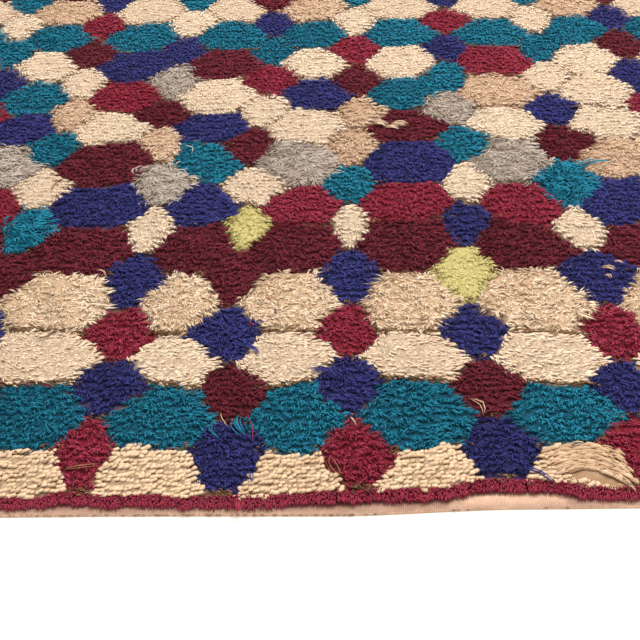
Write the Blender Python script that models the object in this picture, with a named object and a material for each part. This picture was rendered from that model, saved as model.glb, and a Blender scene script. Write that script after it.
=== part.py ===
"""A Moroccan azilal rug: one piece of hand-knotted wool cloth, lying flat.

The rug is one solid with a flat underside. Its pile is a lumpy slab: each hexagon and each diamond
of the pattern is a low crowned pad, the pads part along shallow grooves, a furry border row runs
along both ends as a ridge, and beyond it lies a narrow strip of bare woven cloth. Tapered locks
stand out of the pile's rim on all four sides.

Frame: +X across the rug, +Y along it towards the far end, +Z up, in metres. The origin is on the
surface that the rug lies on, under the rug's middle.
"""
import math
import random
from typing import NamedTuple

import bmesh
import bpy
from mathutils import Vector

# The lattice: columns of diamonds tip to tip, with a wide hexagon between each pair of columns.
COLUMN_PITCH = 0.155
ROW_PITCH = 0.122
HEXAGONS_ACROSS = 9
DIAMOND_ROWS = 17
DIAMOND_WIDTH = 0.086
TIP_SHARE = 0.45  # a tip's place between two row lines, from the nearer one

# The ends, each measured from its outermost row line.
END_MARGIN = 0.094  # to the cut end of the cloth
BORDER_MIDDLE = 0.076  # to the crest of the border row
BORDER_FOOT = 0.007  # from the crest outwards
BORDER_BACK = 0.009  # from the crest inwards
BORDER_STEPS = 6  # pieces of border to one hexagon

# Heights above the surface that the rug lies on.
CLOTH_HEIGHT = 0.003
GROOVE_HEIGHT = 0.0085
PAD_EDGE_HEIGHT = 0.0125
BORDER_HEIGHT = 0.0125
CROWN_RISE = 0.0016
LUMP = 0.0009

# The pile's edges.
PAD_INSET = 0.011  # from a groove to the top of the pad beside it
RAGGEDNESS = 0.0035  # how far an edge strays between its corners
RIM_STEPS = 5  # pieces of side edge to one row
UNDERCUT = 0.003  # how far the underside is drawn in at the rim
LOCK_REACH = 0.0095
LOCK_SHORTEST = 0.6  # share of the full reach
LOCK_LEAN = 0.3  # greatest sideways lean, as a share of the reach
LOCK_TAPER = 0.45
LOCK_DROOP = 0.0012
SEED = 17

# Gentle unevenness where the table below says nothing: heights of waves, and radians to a metre or a step.
DRIFT_ACROSS = 0.007
DRIFT_ALONG = 0.006
DRIFT_WIDTH = 0.009
DRIFT_STEP_ACROSS = 1.9
DRIFT_STEP_ALONG = 0.8
BORDER_WAVES = ((0.0015, 31.0), (0.0010, 67.0))
EDGE_WAVE = 0.001
EDGE_WAVE_RATE = 9.0

COLUMNS = HEXAGONS_ACROSS + 1
HALF_WIDTH = HEXAGONS_ACROSS * COLUMN_PITCH / 2
HALF_LENGTH = (DIAMOND_ROWS - 1) * ROW_PITCH / 2 + END_MARGIN
BORDER_PIECES = HEXAGONS_ACROSS * BORDER_STEPS
MILLIMETRE = 0.001


class RowDrift(NamedTuple):
    """How the weaver's diamonds of one row differ from the even lattice, in millimetres."""

    row: int
    across: tuple  # shift along X of the diamonds in columns 3 to 7
    along: tuple  # shift along Y
    wider: tuple  # added width


class Bump(NamedTuple):
    """A stretch where the border row swings inwards: its middle, how far, and half its length."""

    middle: float
    rise: float
    half_length: float


DRIFT_COLUMNS = (3, 4, 5, 6, 7)
DRIFT = (
    RowDrift(row=0, across=(-5, 5, 0, 5, 10), along=(10, 5, 0, 10, 10), wider=(-15, 5, 0, 0, 0)),
    RowDrift(row=1, across=(10, 5, -10, 0, 10), along=(10, -5, 15, 5, 0), wider=(10, 0, 0, 10, 5)),
    RowDrift(row=2, across=(5, -15, -15, -10, 10), along=(-10, -10, -10, -10, -20), wider=(5, 10, -5, 5, 0)),
    RowDrift(row=3, across=(10, -15, -10, -15, 10), along=(0, 0, 5, 0, -5), wider=(0, 0, -5, 0, 20)),
    RowDrift(row=4, across=(15, 0, -10, 0, 0), along=(5, 15, 15, 25, -10), wider=(-15, -20, -30, -15, -5)),
    RowDrift(row=5, across=(20, 0, -15, 5, -5), along=(15, 0, 5, 0, 0), wider=(20, 15, 0, -10, 5)),
    RowDrift(row=6, across=(0, -15, -10, 10, 10), along=(25, 10, 5, 15, 5), wider=(-20, -5, -10, 5, 10)),
)
NEAR_BUMPS = (
    Bump(middle=-0.24, rise=0.007, half_length=0.05),
    Bump(middle=0.24, rise=0.020, half_length=0.085),
)
FAR_BUMPS = (
    Bump(middle=-0.38, rise=0.009, half_length=0.07),
    Bump(middle=0.30, rise=0.006, half_length=0.06),
)

# The dyed wools, as sRGB hex.
DYES = {
    "I": ("ivory wool", "F0D5AE"),
    "A": ("tan wool", "DDB792"),
    "T": ("teal wool", "0F7685"),
    "B": ("indigo wool", "2D2C6E"),
    "R": ("crimson wool", "A02341"),
    "M": ("maroon wool", "661829"),
    "G": ("grey wool", "AFA092"),
    "Y": ("lime wool", "D3CF74"),
    "C": ("bare cloth", "D6AE8A"),
}
# One letter for each hexagon, from the left edge to the right one, a row for each row of hexagons.
HEXAGON_CHART = (
    "IIIIIIIII",
    "TTTTTTTTT",
    "IIIIIIIII",
    "IIIIIIIII",
    "MMMMMMMMM",
    "BRBBRRRBR",
    "MGMTGBGAT",
    "IBIBIMIIB",
    "RTRIBTAIM",
    "IIBMIIRII",
    "TTTTTTTTT",
    "IAIIAIIAI",
    "MMRMMMRMM",
    "BGBTBGBTB",
    "IIIIIIIII",
    "RRRRRRRRR",
    "TTTTTTTTT",
    "IIIIIIIII",
)
# The same for each diamond, half-diamonds at both side edges included.
DIAMOND_CHART = (
    "BRBRBRBRBR",
    "MBMBMBMBMB",
    "RBBRBRBRBR",
    "BRMBMBYBMB",
    "IBTIYIBITB",
    "BTIGITITGI",
    "MITAMATMIA",
    "TRAMIAGBRT",
    "IBIGRMTIBI",
    "RTMBTRBTMR",
    "BIRIBIRIBI",
    "MTBTMTBTMT",
    "IBIYIBIBIY",
    "RIMIRIMIRI",
    "BRBRBRBRBR",
    "TIBITIBITI",
    "RBRBRBRBRB",
)


def drift(column, row):
    """Shift across, shift along and added width of one diamond, in metres."""
    for line in DRIFT:
        if line.row == row and column in DRIFT_COLUMNS:
            place = DRIFT_COLUMNS.index(column)
            return tuple(MILLIMETRE * values[place] for values in (line.across, line.along, line.wider))
    wave = DRIFT_STEP_ACROSS * column + DRIFT_STEP_ALONG * row
    across = DRIFT_ACROSS * math.sin(wave)
    along = DRIFT_ALONG * math.cos(1.4 * wave)
    wider = DRIFT_WIDTH * math.sin(2.3 * wave + 1.0)
    return across, along, wider


def row_line(row):
    """Y of an even row line, where the row's diamonds are widest."""
    return (row - (DIAMOND_ROWS - 1) / 2) * ROW_PITCH


def column_line(column):
    """X of an even column of diamonds."""
    return (column - HEXAGONS_ACROSS / 2) * COLUMN_PITCH


def is_edge_column(column):
    """Tell whether a column of diamonds is cut in half by a side edge."""
    return column in (0, COLUMNS - 1)


def shoulder_point(column, row, side):
    """A diamond's widest point, on its left (side -1) or on its right (side 1)."""
    across, along, wider = drift(column, row)
    half_width = (DIAMOND_WIDTH + wider) / 2
    return column_line(column) + across + side * half_width, row_line(row) + along


def border_swing(x, bumps):
    """How far the border row lies inwards of its even place at one X."""
    swing = sum(height * math.sin(rate * x) for height, rate in BORDER_WAVES)
    for bump in bumps:
        swing += bump.rise * math.exp(-(((x - bump.middle) / bump.half_length) ** 4))
    return swing


def border_y(x, end, inwards):
    """Y of a line along the border row, so far inwards of its crest; end is -1 near and 1 far."""
    bumps = NEAR_BUMPS if end < 0 else FAR_BUMPS
    last_line = row_line(0 if end < 0 else DIAMOND_ROWS - 1)
    return last_line + end * (BORDER_MIDDLE - border_swing(x, bumps) - inwards)


def tip_point(column, tip):
    """The point where two diamonds of a column meet, or where the last one meets the border."""
    if tip == 0 or tip == DIAMOND_ROWS:
        end, row = (-1, 0) if tip == 0 else (1, DIAMOND_ROWS - 1)
        x = column_line(column) if is_edge_column(column) else column_line(column) + drift(column, row)[0]
        return x, border_y(x, end, BORDER_BACK)
    near, far = drift(column, tip - 1), drift(column, tip)
    x = column_line(column)
    if not is_edge_column(column):
        x += (near[0] + far[0]) / 2
    near_y = row_line(tip - 1) + near[1]
    far_y = row_line(tip) + far[1]
    return x, near_y + TIP_SHARE * (far_y - near_y)


class RugMesh:
    """The rug's surface, built pad by pad; corners and edges are shared between neighbours."""

    def __init__(self):
        self.mesh = bmesh.new()
        self.hand = random.Random(SEED)
        self.corners = {}
        self.between = {}
        self.dyes = list(DYES)

    def vertex(self, x, y, z):
        """Add a vertex."""
        return self.mesh.verts.new((x, y, z))

    def face(self, vertices, dye):
        """Add a face in one of the dyes."""
        face = self.mesh.faces.new(vertices)
        face.material_index = self.dyes.index(dye)
        return face

    def tip(self, column, tip):
        """The shared vertex at a diamond's tip."""
        key = ("tip", column, tip)
        if key not in self.corners:
            self.corners[key] = self.vertex(*tip_point(column, tip), GROOVE_HEIGHT)
        return self.corners[key]

    def shoulder(self, column, row, side):
        """The shared vertex at a diamond's side."""
        key = ("shoulder", column, row, side)
        if key not in self.corners:
            self.corners[key] = self.vertex(*shoulder_point(column, row, side), GROOVE_HEIGHT)
        return self.corners[key]

    def ragged(self, start, end):
        """The shared vertex half-way along an edge, a little off the straight line."""
        key = frozenset((start, end))
        if key not in self.between:
            run = end.co - start.co
            aside = Vector((-run.y, run.x, 0)).normalized()
            place = (start.co + end.co) / 2 + aside * self.hand.uniform(-RAGGEDNESS, RAGGEDNESS)
            self.between[key] = self.mesh.verts.new(place)
        return self.between[key]

    def pad(self, sides, dye):
        """Build one crowned pad inside a ring of groove vertices.

        sides is a list of lists: each holds a corner and then the vertices that follow it, up to
        the next corner. Only the corners have a partner on the pad's top.
        """
        ring = [vertex for side in sides for vertex in side]
        middle = sum((vertex.co for vertex in ring), Vector()) / len(ring)
        tops = []
        for side in sides:
            inwards = middle - side[0].co
            inwards.z = 0
            place = side[0].co + inwards.normalized() * min(PAD_INSET, inwards.length / 2)
            place.z = PAD_EDGE_HEIGHT + self.hand.uniform(-LUMP, LUMP)
            tops.append(self.mesh.verts.new(place))
        crown_height = PAD_EDGE_HEIGHT + CROWN_RISE + self.hand.uniform(-LUMP, LUMP)
        crown = self.vertex(middle.x, middle.y, crown_height)
        for place, side in enumerate(sides):
            after = (place + 1) % len(sides)
            outer = side + [sides[after][0]]
            self.slope(outer, tops[place], tops[after], dye)
            self.face([tops[place], tops[after], crown], dye)

    def slope(self, outer, top_start, top_end, dye):
        """Join a chain of groove vertices to one edge of a pad's top, as a fan of faces."""
        half = len(outer) // 2
        for start, end in zip(outer[:half], outer[1:half]):
            self.face([start, end, top_start], dye)
        self.face([outer[half - 1], outer[half], top_end, top_start], dye)
        for start, end in zip(outer[half:], outer[half + 1:]):
            self.face([start, end, top_end], dye)


def border_line(rug, end, inwards, height):
    """The vertices of one line along a border row, from left to right."""
    line = []
    for step in range(BORDER_PIECES + 1):
        column, within = divmod(step, BORDER_STEPS)
        x = column_line(column) + within * COLUMN_PITCH / BORDER_STEPS
        line.append(rug.vertex(x, border_y(x, end, inwards), height))
    return line


def groove_line(rug, end):
    """The groove behind a border row, which passes through the outermost tips."""
    tip = 0 if end < 0 else DIAMOND_ROWS
    line = []
    for column in range(COLUMNS):
        start = rug.tip(column, tip)
        line.append(start)
        if column == COLUMNS - 1:
            break
        run = rug.tip(column + 1, tip).co - start.co
        for step in range(1, BORDER_STEPS):
            x = start.co.x + run.x * step / BORDER_STEPS
            line.append(rug.vertex(x, border_y(x, end, BORDER_BACK), GROOVE_HEIGHT))
    return line


def build_end(rug, end):
    """Build one end's bare strip and border row; return its groove line and its outer lines."""
    groove = groove_line(rug, end)
    crest = border_line(rug, end, 0.0, BORDER_HEIGHT)
    foot = border_line(rug, end, -BORDER_FOOT, CLOTH_HEIGHT)
    edge = []
    for vertex in foot:
        y = end * (HALF_LENGTH - EDGE_WAVE + EDGE_WAVE * math.sin(EDGE_WAVE_RATE * vertex.co.x))
        edge.append(rug.vertex(vertex.co.x, y, CLOTH_HEIGHT))
    walls = []
    bands = ((edge, foot, "C"), (foot, crest, "R"), (crest, groove, "R"))
    for outer, inner, dye in bands:
        for step in range(BORDER_PIECES):
            corners = [outer[step], outer[step + 1], inner[step + 1], inner[step]]
            if end > 0:
                corners.reverse()
            face = rug.face(corners, dye)
            if inner is crest:
                walls.append(face)
    return groove, (edge, foot, crest), walls


def near_half(rug, gap, row, groove):
    """The groove chains along a hexagon's near half, from its left tip to its right tip."""
    if row == 0:
        first = gap * BORDER_STEPS
        return [[vertex] for vertex in groove[first:first + BORDER_STEPS + 1]]
    left, right = rug.tip(gap, row), rug.tip(gap + 1, row)
    low_left = rug.shoulder(gap, row - 1, 1)
    low_right = rug.shoulder(gap + 1, row - 1, -1)
    return [
        [left, rug.ragged(left, low_left)],
        [low_left, rug.ragged(low_left, low_right)],
        [low_right, rug.ragged(low_right, right)],
        [right],
    ]


def far_half(rug, gap, row, groove):
    """The chains along a hexagon's far half, between its right tip and its left tip.

    The first chain goes on from the right tip, so it holds no corner of its own.
    """
    if row == DIAMOND_ROWS:
        first = gap * BORDER_STEPS
        return [[]] + [[vertex] for vertex in reversed(groove[first + 1:first + BORDER_STEPS])]
    left, right = rug.tip(gap, row), rug.tip(gap + 1, row)
    high_right = rug.shoulder(gap + 1, row, -1)
    high_left = rug.shoulder(gap, row, 1)
    return [
        [rug.ragged(right, high_right)],
        [high_right, rug.ragged(high_right, high_left)],
        [high_left, rug.ragged(high_left, left)],
    ]


def build_hexagons(rug, near_groove, far_groove):
    """Build the wide hexagons, and the half hexagons along both border rows."""
    for row, letters in enumerate(HEXAGON_CHART):
        for gap, dye in enumerate(letters):
            near = near_half(rug, gap, row, near_groove)
            far = far_half(rug, gap, row, far_groove)
            near[-1] += far[0]
            rug.pad(near + far[1:], dye)


def diamond_sides(rug, column, row):
    """The groove chains around a whole diamond."""
    near, far = rug.tip(column, row), rug.tip(column, row + 1)
    right, left = rug.shoulder(column, row, 1), rug.shoulder(column, row, -1)
    corners = (near, right, far, left)
    return [[start, rug.ragged(start, end)] for start, end in zip(corners, corners[1:] + corners[:1])]


def half_diamond_sides(rug, column, row, edge):
    """The groove chains around a half-diamond whose straight side is the rug's side edge."""
    near, far = rug.tip(column, row), rug.tip(column, row + 1)
    at_left = column == 0
    shoulder = rug.shoulder(column, row, 1 if at_left else -1)
    start, end = (near, far) if at_left else (far, near)
    line = reversed(edge) if at_left else edge
    sides = [[start, rug.ragged(start, shoulder)], [shoulder, rug.ragged(shoulder, end)], [end]]
    return sides + [[vertex] for vertex in line]


def build_diamonds(rug):
    """Build the diamonds, and the half-diamonds on both side edges; return the side edge lines."""
    side_lines = {0: [], COLUMNS - 1: []}
    for row, letters in enumerate(DIAMOND_CHART):
        for column, dye in enumerate(letters):
            if not is_edge_column(column):
                rug.pad(diamond_sides(rug, column, row), dye)
                continue
            near, far = rug.tip(column, row), rug.tip(column, row + 1)
            edge = []
            for step in range(1, RIM_STEPS):
                place = near.co.lerp(far.co, step / RIM_STEPS)
                edge.append(rug.vertex(place.x, place.y, place.z))
            side_lines[column] += [near] + edge
            if row == DIAMOND_ROWS - 1:
                side_lines[column].append(far)
            rug.pad(half_diamond_sides(rug, column, row, edge), dye)
    return side_lines[0], side_lines[COLUMNS - 1]


def close_underside(rug, outline):
    """Build the walls around the rim down to the flat underside, and the underside itself."""
    underside = HALF_WIDTH - UNDERCUT
    lower = []
    for vertex in outline:
        x = max(-underside, min(underside, vertex.co.x))
        lower.append(rug.vertex(x, vertex.co.y, 0.0))
    walls = []
    count = len(outline)
    for place in range(count):
        after = (place + 1) % count
        corners = [outline[after], outline[place], lower[place], lower[after]]
        walls.append(rug.face(corners, "C"))
    rug.face(list(reversed(lower)), "C")
    return walls


def draw_lock(rug, wall, outwards, dye):
    """Draw a wall face out into one tapered, blunt-ended lock of pile."""
    result = bmesh.ops.extrude_discrete_faces(rug.mesh, faces=[wall])
    end_face = result["faces"][0]
    middle = end_face.calc_center_median()
    reach = outwards * LOCK_REACH * rug.hand.uniform(LOCK_SHORTEST, 1.0)
    sideways = Vector((outwards.y, outwards.x, 0)) * LOCK_REACH * rug.hand.uniform(-LOCK_LEAN, LOCK_LEAN)
    shift = reach + sideways - Vector((0, 0, LOCK_DROOP))
    for vertex in end_face.verts:
        vertex.co = middle + (vertex.co - middle) * LOCK_TAPER + shift
    for face in {face for edge in end_face.edges for face in edge.link_faces}:
        face.material_index = rug.dyes.index(dye)


def build_locks(rug, rim_walls, near_walls, far_walls):
    """Draw out the locks: along the pile's side edges, and over the bare strip at both ends."""
    rug.mesh.normal_update()
    pile_end = HALF_LENGTH - END_MARGIN + BORDER_MIDDLE
    for wall in rim_walls:
        middle = wall.calc_center_median()
        if abs(middle.x) < HALF_WIDTH - 2 * UNDERCUT or abs(middle.y) > pile_end - 2 * BORDER_BACK:
            continue
        row = min(int((middle.y + HALF_LENGTH - END_MARGIN) / ROW_PITCH + 0.5), DIAMOND_ROWS - 1)
        dye = DIAMOND_CHART[max(row, 0)][0 if middle.x < 0 else -1]
        draw_lock(rug, wall, Vector((math.copysign(1, middle.x), 0, 0)), dye)
    for walls, end in ((near_walls, -1), (far_walls, 1)):
        for wall in walls:
            draw_lock(rug, wall, Vector((0, end, 0)), "R")


def build_rug():
    """Build the whole rug as one closed surface."""
    rug = RugMesh()
    near_groove, near_lines, near_walls = build_end(rug, -1)
    far_groove, far_lines, far_walls = build_end(rug, 1)
    build_hexagons(rug, near_groove, far_groove)
    left_line, right_line = build_diamonds(rug)
    near_edge, near_foot, near_crest = near_lines
    far_edge, far_foot, far_crest = far_lines
    outline = near_edge + [near_foot[-1], near_crest[-1]] + right_line
    outline += [far_crest[-1], far_foot[-1]] + far_edge[::-1]
    outline += [far_foot[0], far_crest[0]] + left_line[::-1]
    outline += [near_crest[0], near_foot[0]]
    rim_walls = close_underside(rug, outline)
    build_locks(rug, rim_walls, near_walls, far_walls)
    return rug


def principled(name, hex_colour, roughness):
    """Make one plain material from an sRGB hex colour."""
    material = bpy.data.materials.new(name)
    material.use_nodes = True
    shader = material.node_tree.nodes["Principled BSDF"]
    values = [int(hex_colour[place:place + 2], 16) / 255 for place in (0, 2, 4)]
    linear = [value / 12.92 if value <= 0.04045 else ((value + 0.055) / 1.055) ** 2.4 for value in values]
    shader.inputs["Base Color"].default_value = (*linear, 1)
    shader.inputs["Roughness"].default_value = roughness
    shader.inputs["Metallic"].default_value = 0.0
    return material


def centre(mesh):
    """Move the mesh so that its box is centred on the origin, in X and in Y."""
    for axis in (0, 1):
        places = [vertex.co[axis] for vertex in mesh.verts]
        shift = (min(places) + max(places)) / 2
        for vertex in mesh.verts:
            vertex.co[axis] -= shift


def main():
    """Clear the scene and model the rug."""
    for item in list(bpy.data.objects):
        bpy.data.objects.remove(item, do_unlink=True)
    rug = build_rug()
    centre(rug.mesh)
    data = bpy.data.meshes.new("rug")
    rug.mesh.to_mesh(data)
    rug.mesh.free()
    for name, hex_colour in DYES.values():
        data.materials.append(principled(name, hex_colour, 0.9))
    data.shade_smooth()
    data.set_sharp_from_angle(angle=math.radians(40))
    bpy.context.scene.collection.objects.link(bpy.data.objects.new("rug", data))


main()
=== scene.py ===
"""An azilal rug, dressed as in the photograph: knotted wool pile on its woven ground.

The ground cloth is one thin closed sheet with a block of colour for each hexagon and diamond. The pile
stands on it as separate strands of yarn, knot by knot: plump grains in the near ivory blocks, finer
ones further on, cut ends in the deep dyes and long loose ones in the grey. A furry row of knots runs
along both ends, with a strip of bare cloth beyond it, and brown weft and stray ends lie between.

Frame: +X across the rug, +Y along it towards the far end, +Z up, in metres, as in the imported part.
"""
import logging
import math
from dataclasses import dataclass, field
from enum import Enum

import bpy
import numpy as np
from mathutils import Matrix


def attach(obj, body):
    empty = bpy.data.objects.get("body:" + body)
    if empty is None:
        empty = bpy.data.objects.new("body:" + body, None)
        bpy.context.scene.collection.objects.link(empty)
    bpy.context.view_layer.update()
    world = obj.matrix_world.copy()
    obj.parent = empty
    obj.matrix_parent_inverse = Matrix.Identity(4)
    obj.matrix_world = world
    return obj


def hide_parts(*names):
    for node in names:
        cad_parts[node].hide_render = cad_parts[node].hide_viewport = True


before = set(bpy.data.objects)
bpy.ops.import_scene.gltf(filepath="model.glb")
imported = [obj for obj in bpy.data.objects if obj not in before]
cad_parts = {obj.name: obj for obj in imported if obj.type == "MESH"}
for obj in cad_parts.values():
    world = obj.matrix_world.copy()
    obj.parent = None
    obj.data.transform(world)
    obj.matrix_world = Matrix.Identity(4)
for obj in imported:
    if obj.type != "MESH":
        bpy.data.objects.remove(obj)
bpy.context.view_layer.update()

Array = np.ndarray
Colour = tuple[float, float, float, float]
log = logging.getLogger("rug")

MM = 0.001
BODY = "root"
NODE = "rug"
SEED = 29


# Small tools.


def linear(hex_colour: str, darker: float = 1.0) -> Colour:
    """Turn an sRGB hex colour to linear light.

    Args:
        hex_colour: six hex digits.
        darker: the share of the light that is kept.

    Returns:
        Red, green, blue and an alpha of one.
    """
    values = [int(hex_colour[place:place + 2], 16) / 255 for place in (0, 2, 4)]
    light = [value / 12.92 if value <= 0.04045 else ((value + 0.055) / 1.055) ** 2.4 for value in values]
    return (light[0] * darker, light[1] * darker, light[2] * darker, 1.0)


def smooth(value: Array, start: float, stop: float) -> Array:
    """Rise smoothly from 0 at start to 1 at stop: a cubic that is level at both ends.

    Args:
        value: where to read the curve.
        start: where it is 0.
        stop: where it is 1.

    Returns:
        The curve's height at each value.
    """
    share = np.clip((value - start) / (stop - start), 0.0, 1.0)
    return share * share * (3.0 - 2.0 * share)


@dataclass(frozen=True)
class Ripple:
    """An uneven field: its height, the usual distance from crest to crest, and which field it is."""

    height: float
    wavelength: float
    seed: int
    waves: int = 5
    # The waves' sum seldom passes this, so the field seldom passes its height.
    usual_sum: float = 2.6

    def at(self, x: Array, y: Array) -> Array:
        """Read the field: plane waves added, each with its own direction, start and length.

        Args:
            x: places across.
            y: places along.

        Returns:
            The field at each place, from about minus its height to its height.
        """
        hand = np.random.default_rng(self.seed)
        total = np.zeros(np.broadcast(x, y).shape)
        for _ in range(self.waves):
            angle, phase = hand.uniform(0.0, 2.0 * np.pi, 2)
            rate = 2.0 * np.pi / (self.wavelength * hand.uniform(0.7, 1.4))
            total = total + np.sin(rate * (x * np.cos(angle) + y * np.sin(angle)) + phase)
        return self.height * (total / self.usual_sum)


def add_node(tree: bpy.types.NodeTree, kind: str, inputs: dict, **settings: object) -> bpy.types.Node:
    """Add one node to a material.

    Args:
        tree: the material's nodes.
        kind: the node's type.
        inputs: a value, or the socket that it is linked from, for each input by name or place.
        settings: the node's own settings.

    Returns:
        The node.
    """
    made = tree.nodes.new(kind)
    for name, value in settings.items():
        setattr(made, name, value)
    for name, value in inputs.items():
        if isinstance(value, bpy.types.NodeSocket):
            tree.links.new(value, made.inputs[name])
        else:
            made.inputs[name].default_value = value
    return made


def start_finish(
    name: str,
) -> tuple[bpy.types.Material, bpy.types.NodeTree, bpy.types.Node, bpy.types.NodeSocket]:
    """Start a finish, with the object's own place for its patterns.

    Args:
        name: the finish's name.

    Returns:
        The material, its nodes, its shader, and the place.
    """
    made = bpy.data.materials.new(name)
    made.use_nodes = True
    tree = made.node_tree
    place = add_node(tree, "ShaderNodeTexCoord", {}).outputs["Object"]
    return made, tree, tree.nodes["Principled BSDF"], place


def new_piece(name: str, points: Array, faces: list[Array], values: dict[str, Array]) -> bpy.types.Object:
    """Make one mesh object from whole arrays.

    Args:
        name: the piece's name.
        points: its vertices, three numbers each.
        faces: arrays of corners, one array for each number of corners to a face.
        values: attributes of the vertices: one number each, or four for a colour.

    Returns:
        The object, at the origin, shaded smooth.
    """
    mesh = bpy.data.meshes.new(name)
    corners = np.concatenate([block.ravel() for block in faces]).astype(np.int32)
    sizes = np.concatenate([np.full(len(block), block.shape[1]) for block in faces])
    starts = np.concatenate(([0], np.cumsum(sizes)[:-1])).astype(np.int32)
    mesh.vertices.add(len(points))
    mesh.vertices.foreach_set("co", points.astype(np.float32).ravel())
    mesh.loops.add(len(corners))
    mesh.loops.foreach_set("vertex_index", corners)
    mesh.polygons.add(len(sizes))
    mesh.polygons.foreach_set("loop_start", starts)
    mesh.update(calc_edges=True)
    mesh.shade_smooth()
    for label, numbers in values.items():
        is_colour = numbers.ndim == 2
        layer = mesh.attributes.new(label, "FLOAT_COLOR" if is_colour else "FLOAT", "POINT")
        layer.data.foreach_set("color" if is_colour else "value", numbers.astype(np.float32).ravel())
    piece = bpy.data.objects.new(name, mesh)
    bpy.context.scene.collection.objects.link(piece)
    return piece


def triangles_of(piece: bpy.types.Object) -> int:
    """Count a piece's triangles."""
    mesh = piece.data
    return len(mesh.loops) - 2 * len(mesh.polygons)


# The pattern.


@dataclass(frozen=True)
class RowDrift:
    """How one row's diamonds differ from the even lattice in columns 1 to 8, in millimetres."""

    row: int
    across: tuple[int, ...]
    along: tuple[int, ...]
    wider: tuple[int, ...]


@dataclass(frozen=True)
class Bump:
    """A stretch where the border row swings inwards: its middle, how far, and half its length."""

    middle: float
    rise: float
    half_length: float


DRIFT_COLUMNS = (1, 2, 3, 4, 5, 6, 7, 8)
DRIFT = (
    RowDrift(
        row=0, across=(0, 0, -5, 5, 0, 5, 9, 0), along=(0, 5, 10, 5, 0, 10, 14, 5),
        wider=(0, 0, -15, 5, 0, 0, 10, 5),
    ),
    RowDrift(
        row=1, across=(5, -7, 10, 5, -10, 0, 10, 0), along=(0, 6, 10, -5, 15, 5, 0, 5),
        wider=(0, -7, 10, 0, 0, 10, 5, -5),
    ),
    RowDrift(
        row=2, across=(0, -26, 5, -15, -15, -10, 10, 5), along=(-5, 0, -10, -10, -10, -10, -20, -10),
        wider=(5, 0, 5, 10, -5, 5, 0, 0),
    ),
    RowDrift(
        row=3, across=(0, -16, 10, -15, -10, -15, 10, -5), along=(5, 10, 4, 4, 9, 5, 8, 5),
        wider=(-5, 0, 0, 0, -5, 0, 20, 0),
    ),
    RowDrift(
        row=4, across=(5, -3, 15, 0, -10, 0, 0, -5), along=(25, 10, 5, 15, 15, 25, -10, 16),
        wider=(0, -22, -15, -20, -30, -15, -5, 5),
    ),
    RowDrift(
        row=5, across=(-5, -9, 20, 0, -15, 5, -5, 0), along=(18, 2, 15, 0, 5, 0, 4, 14),
        wider=(5, 0, 0, 15, 0, -10, 5, 0),
    ),
    RowDrift(
        row=6, across=(0, -13, 0, -15, -10, 10, 10, 5), along=(15, 9, 25, 10, 5, 15, 8, 8),
        wider=(0, 0, -20, -5, -10, 5, 10, 0),
    ),
)
# Half the width of the blunt tips that stand on the near border row, in the same columns, and how far
# each one strays across from its diamond.
END_TIPS = (13, 13, 9, 15, 14, 23, 12, 13)
END_STRAYS = (0, 0, 11, 0, 0, 0, 0, 0)
# Diamonds with long shaggy pile: row and column.
LONG_DIAMONDS = ((4, 2), (5, 7), (11, 4))
# The blocks' edges are shaken by these, across and along.
SHAKES_ACROSS = (
    Ripple(height=0.0034, wavelength=0.045, seed=3),
    Ripple(height=0.0018, wavelength=0.016, seed=4),
)
SHAKES_ALONG = (
    Ripple(height=0.0034, wavelength=0.050, seed=5),
    Ripple(height=0.0016, wavelength=0.018, seed=6),
)
# The small waves of the border rows: height, and radians to a metre.
BORDER_WAVES = ((0.0015, 31.0), (0.0010, 67.0))
NEAR_BUMPS = (
    Bump(middle=-0.235, rise=0.007, half_length=0.032),
    Bump(middle=0.245, rise=0.011, half_length=0.065),
    Bump(middle=0.30, rise=0.012, half_length=0.27),
)
FAR_BUMPS = (
    Bump(middle=-0.38, rise=0.009, half_length=0.07),
    Bump(middle=0.30, rise=0.006, half_length=0.06),
)
# One letter for each hexagon, from the left edge to the right one, a row for each row of hexagons.
HEXAGON_CHART = (
    "PPPPPPPPP",
    "TTTTTTTTT",
    "IIIIIIIII",
    "FFFFFFFFF",
    "MMMMMMMMM",
    "BRBBRRRBR",
    "MGMTGBGAT",
    "IBIBIMIIB",
    "RTRIBTAIM",
    "IIBMIIRII",
    "TTTTTTTTT",
    "IAIIAIIAI",
    "MMRMMMRMM",
    "BGBTBGBTB",
    "FFFFFFFFF",
    "RRRRRRRRR",
    "TTTTTTTTT",
    "PPPPPPPPP",
)
# The same for each diamond, half-diamonds at both side edges included.
DIAMOND_CHART = (
    "BRBRBRBRBR",
    "MBMBMBMBMB",
    "RBBRBRBRBR",
    "BRMBMBYBMB",
    "IBTIYIBITB",
    "BTIGITITGI",
    "MITAMATMIA",
    "TRAMIAGBRT",
    "IBIGRMTIBI",
    "RTMBTRBTMR",
    "BIRIBIRIBI",
    "MTBTMTBTMT",
    "IBIYIBIBIY",
    "RIMIRIMIRI",
    "BRBRBRBRBR",
    "TIBITIBITI",
    "RBRBRBRBRB",
)


@dataclass
class Places:
    """What the pattern says of many places: the block that each lies in, and how deep inside it."""

    block: Array
    depth: Array


@dataclass(frozen=True)
class Clearing:
    """A place without standing knots: a straight line, and how far it reaches on both sides."""

    start: tuple[float, float]
    stop: tuple[float, float]
    half_width: float

    def depth(self, x: Array, y: Array) -> Array:
        """How deep each place lies inside: the half-width less the distance to the nearest point.

        Args:
            x: places across.
            y: places along.

        Returns:
            The depths, negative outside.
        """
        run_x, run_y = self.stop[0] - self.start[0], self.stop[1] - self.start[1]
        share = ((x - self.start[0]) * run_x + (y - self.start[1]) * run_y) / (run_x**2 + run_y**2)
        share = np.clip(share, 0.0, 1.0)
        off_x = x - self.start[0] - share * run_x
        off_y = y - self.start[1] - share * run_y
        return self.half_width - np.hypot(off_x, off_y)


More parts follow.
